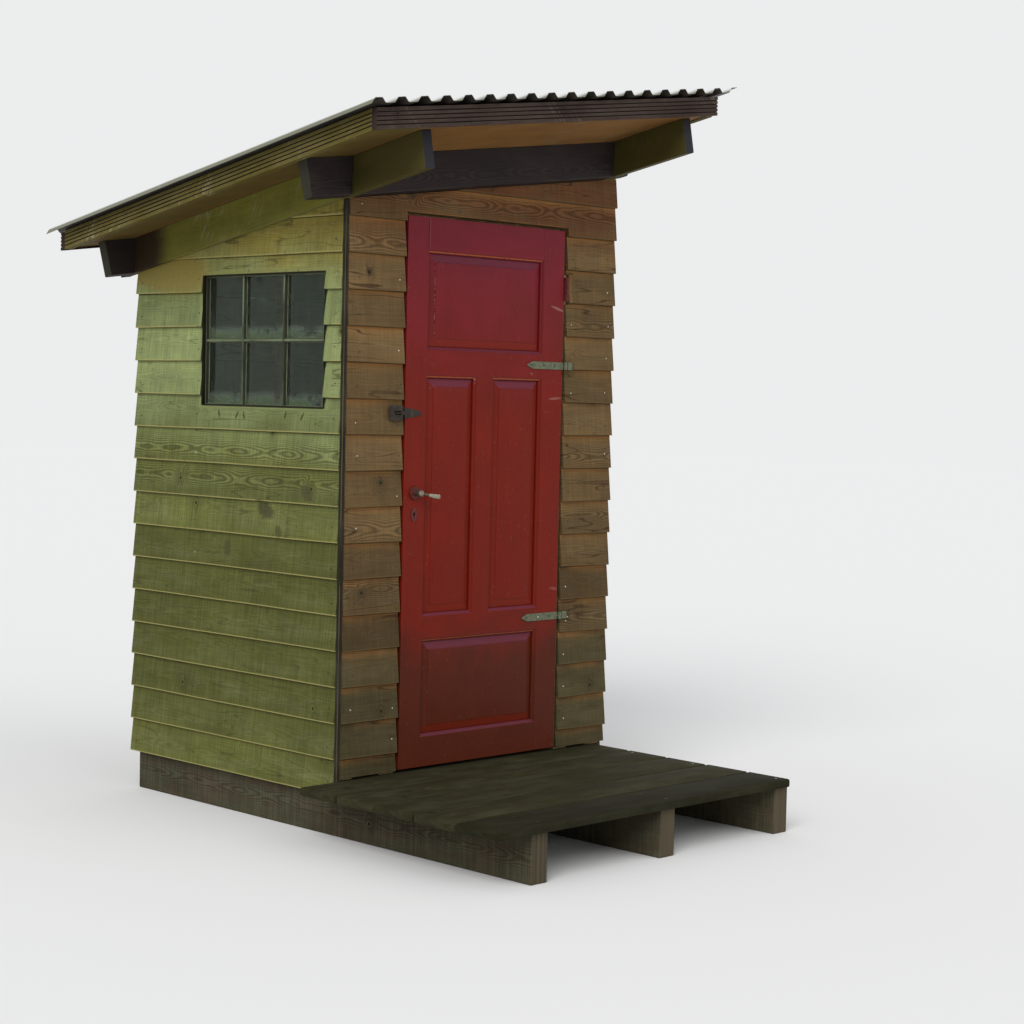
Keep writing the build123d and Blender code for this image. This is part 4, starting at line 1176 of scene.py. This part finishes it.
def wave_line(sizes, pitch, height, crest, trough, count):
    """The corrugated sheet's line across its waves, with round bends."""
    flank = (pitch - crest - trough) / 2
    corners = []
    wave = ((0, 0), (flank, height), (flank + crest, height), (2 * flank + crest, 0))
    for number in range(count + 1):
        for along, up in wave[:3] if number == count else wave:
            corners.append(Vector((number * pitch + along, up)))
    points = [corners[0]]
    for before, corner, after in zip(corners, corners[1:], corners[2:]):
        way_in, way_out = (corner - before).normalized(), (after - corner).normalized()
        room = min((corner - before).length, (after - corner).length) * 0.45
        reach = min(sizes.sheet_round, room)
        first, last = corner - way_in * reach, corner + way_out * reach
        for step in range(4):
            t = step / 3
            points.append(first * (1 - t) ** 2 + corner * 2 * t * (1 - t) + last * t * t)
    points.append(corners[-1])
    return points


def build_roof_sheet(sizes):
    """The corrugated sheet and the capped screws on its crests."""
    low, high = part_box("roof_sheet")
    pitch, wave, crest, trough = 0.099, 0.0185, 0.031, 0.040
    seat, thick, steps = 0.2043, 0.002, 24
    count = math.floor((high.x - low.x) / pitch)
    line = wave_line(sizes, pitch, wave, crest, trough, count)
    stock = Stock(61)
    sections, along = [], []
    for step in range(steps + 1):
        y = low.y + (high.y - low.y) * step / steps
        upper, lower = [], []
        for point in line:
            x = low.x + point.x
            sag = 0.0006 * noise.noise(Vector((x * 2.0, y * 2.0, 3.0)))
            base = roof_height(x, y, seat + point.y + sag + 0.0006)
            lower.append(Vector((x, y, base)))
            upper.append(Vector((x, y, base + thick)))
        sections.append(lower + upper[::-1])
        along.append(y)
    length = [0.0]
    for a, b in zip(line, line[1:]):
        length.append(length[-1] + (b - a).length)
    across = length + length[::-1] + [0.0]
    # The flank at the sheet's left edge reads lower in the wave, so that it takes more of the green tint:
    # painted shade.
    heights = []
    for point in line:
        up = point.y / wave
        heights.append(0.2 + 0.8 * up if point.x < pitch / 3 else 0.62 + 0.38 * up)
    stock.skin(sections, along, across, [0.0] * len(heights) + heights[::-1])
    stock.piece("corrugated_sheet", "sheet", "cabin", "sheet", ("roof_sheet",), sharp=40.0)
    screws = Stock(62)
    roof_low, roof_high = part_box("roof_boards")
    rows, margin = 4, 0.060
    spots = []
    for row in range(rows):
        y = roof_low.y + margin + row * (roof_high.y - roof_low.y - 2 * margin) / (rows - 1)
        for number in range(1, count - 1, 3):
            x = low.x + number * pitch + (pitch - trough) / 2
            spots.append(Vector((x, y, roof_height(x, y, seat + wave + thick))))
    heads(screws, spots, ROOF_NORMAL, 0.008, 0.0035)
    screws.piece("sheet_screws", "zinc", "cabin", "zinc")


def ringed(stock, rings, rises, fill=True):
    """Joins rings of four corners, with the grain along each side, and fills the last."""
    shift = stock.draw.uniform(0, 40)
    tone, second = stock.draw.random(), stock.draw.random()
    made = [stock.ring(ring, tone, [rise] * 4, second) for ring, rise in zip(rings, rises)]
    depth = 0.0
    for first, following in zip(made, made[1:]):
        step = (first[0].co - following[0].co).length * 0.7
        for side in range(4):
            after = (side + 1) % 4
            corners = (first[side], first[after], following[after], following[side])
            face = stock.mesh.faces.new(corners)
            way = (first[after].co - first[side].co).normalized()
            for loop in face.loops:
                deep = depth if loop.vert in first else depth + step
                loop[stock.grain].uv = (loop.vert.co.dot(way) + shift + side, deep + side * 0.3)
        depth += step
    if fill:
        face = stock.mesh.faces.new(made[-1])
        for loop in face.loops:
            loop[stock.grain].uv = (loop.vert.co.z + shift, loop.vert.co.x)


def rectangle(across, up, out, inset, sideways=False):
    """Four corners of a rectangle that faces the front, or sideways the left."""
    (a, b), (c, d) = across, up
    spots = (
        (a + inset, c + inset), (b - inset, c + inset), (b - inset, d - inset), (a + inset, d - inset)
    )
    return [Vector((out, place, z) if sideways else (place, out, z)) for place, z in spots]


def panel_places():
    """Openings between the door's stiles and rails, as spans in X and Z."""
    lock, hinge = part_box("lock_stile")[1].x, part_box("hinge_stile")[0].x
    top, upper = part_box("top_rail")[0].z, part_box("upper_rail")
    lower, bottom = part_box("lower_rail"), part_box("bottom_rail")[1].z
    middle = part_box("mullion")
    return [
        ((lock, hinge), (upper[1].z, top)),
        ((lock, middle[0].x), (lower[1].z, upper[0].z)),
        ((middle[1].x, hinge), (lower[1].z, upper[0].z)),
        ((lock, hinge), (bottom, lower[0].z)),
    ]


def build_door(sizes):
    """Stiles, rails and mullion, the raised panels and the mouldings round them."""
    upright, level = ("lock_stile", "hinge_stile", "mullion"), ("top_rail", "upper_rail")
    for number, node in enumerate((*upright, *level, "lower_rail", "bottom_rail")):
        grain = UP if node in upright else ACROSS
        eased_copy(
            node, "door_paint", grain, 0.0012, 71 + number, "door", "_painted"
        )
    panels, trim = Stock(81), Stock(82)
    moulding = sizes.moulding
    for x, z in panel_places():
        for outer, sign in ((DOOR_FACE, 1), (DOOR_REAR, -1)):
            tongue = (DOOR_FACE + DOOR_REAR) / 2 - sign * 0.0043
            field = outer + sign * 0.006
            # Inset from the opening's edge, place in depth and what the material reads there
            panel = (
                (-0.009, tongue, 0), (moulding - 0.002, tongue, 0),
                (moulding + 0.001, tongue - sign * 0.0008, 0), (0.0400, field + sign * 0.0030, 0.5),
                (0.0415, field + sign * 0.0026, 0.9), (0.0425, field + sign * 0.0004, 0.1),
                (0.0450, field, 0.5),
            )
            ringed(panels, [rectangle(x, z, y, inset) for inset, y, _ in panel], [r for _, _, r in panel])
            bead = (
                (0.0, outer + sign * 0.0004, 0.1), (0.0012, outer + sign * 0.0002, 0.3),
                (0.0030, outer + sign * 0.0016, 0.2), (0.0042, outer + sign * 0.0042, 1.0),
                (0.0066, outer + sign * 0.0062, 1.0), (0.0100, outer + sign * 0.0074, 0.6),
                (0.0110, outer + sign * 0.0092, 0.2), (moulding, tongue, 0.0), (0.0, tongue, 0.0),
            )
            rings = [rectangle(x, z, y, inset) for inset, y, _ in bead]
            ringed(trim, rings, [r for _, _, r in bead], fill=False)
    panels.piece("raised_panels", "door_paint", "door", "red_paint", ("door_panels",), sharp=15.0)
    trim.piece("panel_mouldings", "door_paint", "door", "red_paint", sharp=10.0)


def build_hinges():
    """Strap hinges with their plates, and the old hinge half."""
    eased_copy("strap_hinges", "zinc", ACROSS, 0.0006, 91, "door")
    eased_copy("hinge_plates", "zinc_plate", ACROSS, 0.0006, 92)
    eased_copy("old_hinge", "red_iron", UP, 0.0005, 93, "door")
    strap_low, strap_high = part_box("strap_hinges")
    plate_low, plate_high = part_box("hinge_plates")
    half = 0.014
    screws, pins = Stock(94), Stock(89)
    for z in (strap_low.z + half, strap_high.z - half):
        spots = [
            Vector((strap_low.x + along, DOOR_FACE - 0.0038, z)) for along in (0.028, 0.092, 0.150)
        ]
        heads(screws, spots, -INWARD, 0.0042, 0.0008)
        spots = [
            Vector((plate_high.x - 0.009, plate_low.y + 0.0001, z + up)) for up in (-0.007, 0.007)
        ]
        heads(pins, spots, -INWARD, 0.0034, 0.0001)
    screws.piece("strap_screws", "dark_nails", "door", "zinc")
    pins.piece("plate_screws", "dark_nails", "cabin", "zinc")


def build_lock():
    """Lever handles on both sides of the door with their hubs, and the roses and keyhole plate."""
    low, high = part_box("lever_handle")
    x, z = low.x + 0.0075, (low.z + high.z) / 2
    # How far the turned hub stands out from the door, and its radius
    hub = (
        (0.0, 0.0070), (0.020, 0.0062), (0.030, 0.0085), (0.0335, 0.0120), (0.0385, 0.0130),
        (0.0430, 0.0105), (0.0455, 0.0050),
    )
    # The lever's reach from the hub, its droop, height and thickness
    arm = (
        (0.004, 0.0000, 0.0090, 0.0080), (0.020, -0.0022, 0.0075, 0.0060),
        (0.034, -0.0050, 0.0085, 0.0055), (0.048, -0.0078, 0.0130, 0.0060),
        (0.070, -0.0110, 0.0155, 0.0065), (0.090, -0.0128, 0.0160, 0.0065),
        (0.0935, -0.0130, 0.0120, 0.0045),
    )
    stock = Stock(95)
    corners = 20
    for face, outward in ((DOOR_FACE, -1), (DOOR_REAR, 1)):
        sections = [
            circle(Vector((x, face + outward * reach, z)), ACROSS, UP, radius, corners)
            for reach, radius in hub
        ]
        across = [0.001 * number for number in range(corners + 1)]
        stock.skin(sections, [reach for reach, _ in hub], across)
        y = face + outward * 0.0365
        sections = []
        for reach, drop, height, thick in arm:
            outline = rounded_section(thick, height, thick * 0.35, 3)
            sections.append([Vector((x + reach, y + a, z + drop + b)) for a, b in outline])
        stock.skin(sections, [station[0] for station in arm], face_places(outline, 0.006, 0.016))
    stock.piece("lever_and_hubs", "lever_grey", "lever", "lever_metal", ("lever_handle",), sharp=28.0)
    eased_copy("lock_plates", "red_iron", ACROSS, 0.0005, 96, "door")


def build_hasp():
    """Hasp, its leaf on the door and the staple beside it."""
    eased_copy("hasp", "black_iron", ACROSS, 0.0005, 97, "hasp")
    eased_copy("hasp_leaf", "black_iron", ACROSS, 0.0004, 98, "door")
    eased_copy("staple", "black_iron", ACROSS, 0.0004, 99)


def build_world():
    """Soft white light all round, and a brighter white where the camera or a mirror sees it."""
    world = bpy.data.worlds.new("studio")
    world.use_nodes = True
    bpy.context.scene.world = world
    nodes, links = world.node_tree.nodes, world.node_tree.links
    plain, bright = nodes["Background"], nodes.new("ShaderNodeBackground")
    plain.inputs["Color"].default_value = (0.93, 0.96, 1.0, 1.0)
    plain.inputs["Strength"].default_value = 0.62
    bright.inputs["Color"].default_value = (0.84, 0.845, 0.85, 1.0)
    bright.inputs["Strength"].default_value = 1.0
    path = nodes.new("ShaderNodeLightPath")
    seen = path.outputs["Is Camera Ray"]
    for ray in ("Is Glossy Ray", "Is Transmission Ray"):
        either = nodes.new("ShaderNodeMath")
        either.operation = "MAXIMUM"
        links.new(seen, either.inputs[0])
        links.new(path.outputs[ray], either.inputs[1])
        seen = either.outputs[0]
    mix = nodes.new("ShaderNodeMixShader")
    for socket, value in zip(mix.inputs, (seen, plain.outputs[0], bright.outputs[0])):
        links.new(value, socket)
    links.new(mix.outputs[0], nodes["World Output"].inputs["Surface"])


def build_ground():
    """Plain pale floor of the studio."""
    ground = bmesh.new()
    bmesh.ops.create_grid(ground, x_segments=8, y_segments=8, size=40.0)
    data = bpy.data.meshes.new("studio_floor")
    ground.to_mesh(data)
    ground.free()
    floor = bpy.data.objects.new("studio_floor", data)
    bpy.context.scene.collection.objects.link(floor)
    material = bpy.data.materials.new("studio_floor")
    material.use_nodes = True
    inputs = material.node_tree.nodes["Principled BSDF"].inputs
    inputs["Base Color"].default_value = (0.832, 0.822, 0.807, 1.0)
    inputs["Roughness"].default_value = 0.9
    inputs["Specular IOR Level"].default_value = 0.0
    data.materials.append(material)


def build_camera():
    """The camera of the photograph, found from its vanishing lines."""
    yaw, pitch, roll = math.radians(45.0), math.radians(3.18), math.radians(-1.28)
    place = (-5.432, -6.2025, 1.569)
    focal_pixels, width_pixels = 2100.0, 1024.0
    forward = Vector((math.sin(yaw) * math.cos(pitch), math.cos(yaw) * math.cos(pitch), -math.sin(pitch)))
    level = Vector((math.cos(yaw), -math.sin(yaw), 0.0))
    down = forward.cross(level)
    right = math.cos(roll) * level + math.sin(roll) * down
    below = -math.sin(roll) * level + math.cos(roll) * down
    camera = bpy.data.cameras.new("camera")
    camera.sensor_width = 36.0
    camera.lens = camera.sensor_width * focal_pixels / width_pixels
    camera.clip_end = 200.0
    viewer = bpy.data.objects.new("camera", camera)
    turn = Matrix((right, -below, -forward)).transposed().to_4x4()
    viewer.matrix_world = Matrix.Translation(place) @ turn
    bpy.context.scene.collection.objects.link(viewer)
    bpy.context.scene.camera = viewer


def build_stage():
    """Pale floor, white surroundings, soft lamps and the camera."""
    scene = bpy.context.scene
    scene.view_settings.view_transform = "Standard"
    build_world()
    build_ground()
    lamps = (("key", 1.9, 35, (0.75, 0.45, -0.62)), ("fill", 0.75, 60, (-0.25, 0.9, -0.35)))
    for name, energy, spread, way in lamps:
        sun = bpy.data.lights.new(name, "SUN")
        sun.energy = energy
        sun.angle = math.radians(spread)
        lamp = bpy.data.objects.new(name, sun)
        lamp.rotation_euler = Vector(way).to_track_quat("-Z", "Y").to_euler()
        scene.collection.objects.link(lamp)
    build_camera()


class OUTHOUSE_OT_stage(bpy.types.Operator):
    """Makes the floor, lamps and camera"""

    bl_idname = "outhouse.stage"
    bl_label = "Stage"

    def execute(self, context):
        build_stage()
        return {"FINISHED"}


class OUTHOUSE_OT_siding(bpy.types.Operator):
    """Boards the four walls"""

    bl_idname = "outhouse.siding"
    bl_label = "Lap Boards"

    def execute(self, context):
        build_siding(context.scene.outhouse_sizes)
        return {"FINISHED"}


class OUTHOUSE_OT_framing(bpy.types.Operator):
    """Makes the posts, studs and corner strip"""

    bl_idname = "outhouse.framing"
    bl_label = "Framing"

    def execute(self, context):
        build_framing()
        return {"FINISHED"}


class OUTHOUSE_OT_deck(bpy.types.Operator):
    """Lays the bearers, step planks and floor"""

    bl_idname = "outhouse.deck"
    bl_label = "Deck and Floor"

    def execute(self, context):
        build_deck(context.scene.outhouse_sizes)
        return {"FINISHED"}


class OUTHOUSE_OT_window(bpy.types.Operator):
    """Makes the window's frame, bars and panes"""

    bl_idname = "outhouse.window"
    bl_label = "Window"

    def execute(self, context):
        build_window(context.scene.outhouse_sizes)
        return {"FINISHED"}


class OUTHOUSE_OT_roof_timber(bpy.types.Operator):
    """Makes the beams, roof boards, edge boards and battens"""

    bl_idname = "outhouse.roof_timber"
    bl_label = "Roof Timber"

    def execute(self, context):
        build_roof_timber()
        return {"FINISHED"}


class OUTHOUSE_OT_roof_sheet(bpy.types.Operator):
    """Lays the corrugated sheet with its screws"""

    bl_idname = "outhouse.roof_sheet"
    bl_label = "Roof Sheet"

    def execute(self, context):
        build_roof_sheet(context.scene.outhouse_sizes)
        return {"FINISHED"}


class OUTHOUSE_OT_door(bpy.types.Operator):
    """Makes the door's stiles, rails, panels and mouldings"""

    bl_idname = "outhouse.door"
    bl_label = "Panelled Door"

    def execute(self, context):
        build_door(context.scene.outhouse_sizes)
        return {"FINISHED"}


class OUTHOUSE_OT_hinges(bpy.types.Operator):
    """Makes the strap hinges and the old hinge half"""

    bl_idname = "outhouse.hinges"
    bl_label = "Hinges"

    def execute(self, context):
        build_hinges()
        return {"FINISHED"}


class OUTHOUSE_OT_lock(bpy.types.Operator):
    """Makes the lever handle, roses and keyhole plate"""

    bl_idname = "outhouse.lock"
    bl_label = "Lever and Lock"

    def execute(self, context):
        build_lock()
        return {"FINISHED"}


class OUTHOUSE_OT_hasp(bpy.types.Operator):
    """Makes the hasp, its leaf and the staple"""

    bl_idname = "outhouse.hasp"
    bl_label = "Hasp"

    def execute(self, context):
        build_hasp()
        return {"FINISHED"}


OPERATORS = (
    OUTHOUSE_OT_stage, OUTHOUSE_OT_siding, OUTHOUSE_OT_framing, OUTHOUSE_OT_deck,
    OUTHOUSE_OT_window, OUTHOUSE_OT_roof_timber, OUTHOUSE_OT_roof_sheet, OUTHOUSE_OT_door,
    OUTHOUSE_OT_hinges, OUTHOUSE_OT_lock, OUTHOUSE_OT_hasp,
)


class OUTHOUSE_PT_pieces(bpy.types.Panel):
    """Lists the outhouse's pieces, sizes and colours."""

    bl_label = "Wooden Outhouse"
    bl_idname = "OUTHOUSE_PT_pieces"
    bl_space_type = "VIEW_3D"
    bl_region_type = "UI"
    bl_category = "Outhouse"

    def draw(self, context):
        layout = self.layout
        for maker in OPERATORS:
            layout.operator(maker.bl_idname)
        for name in OuthouseSizes.__annotations__:
            layout.prop(context.scene.outhouse_sizes, name)
        for name in OuthouseColours.__annotations__:
            layout.prop(context.scene.outhouse_colours, name)


CLASSES = (OuthouseSizes, OuthouseColours, *OPERATORS, OUTHOUSE_PT_pieces)


def register():
    for item in CLASSES:
        bpy.utils.register_class(item)
    bpy.types.Scene.outhouse_sizes = PointerProperty(type=OuthouseSizes)
    bpy.types.Scene.outhouse_colours = PointerProperty(type=OuthouseColours)


def unregister():
    del bpy.types.Scene.outhouse_sizes
    del bpy.types.Scene.outhouse_colours
    for item in reversed(CLASSES):
        bpy.utils.unregister_class(item)


def main():
    """Makes every piece in order."""
    register()
    bpy.ops.outhouse.stage()
    bpy.ops.outhouse.siding()
    bpy.ops.outhouse.framing()
    bpy.ops.outhouse.deck()
    bpy.ops.outhouse.window()
    bpy.ops.outhouse.roof_timber()
    bpy.ops.outhouse.roof_sheet()
    bpy.ops.outhouse.door()
    bpy.ops.outhouse.hinges()
    bpy.ops.outhouse.lock()
    bpy.ops.outhouse.hasp()


if __name__ == "__main__":
    main()
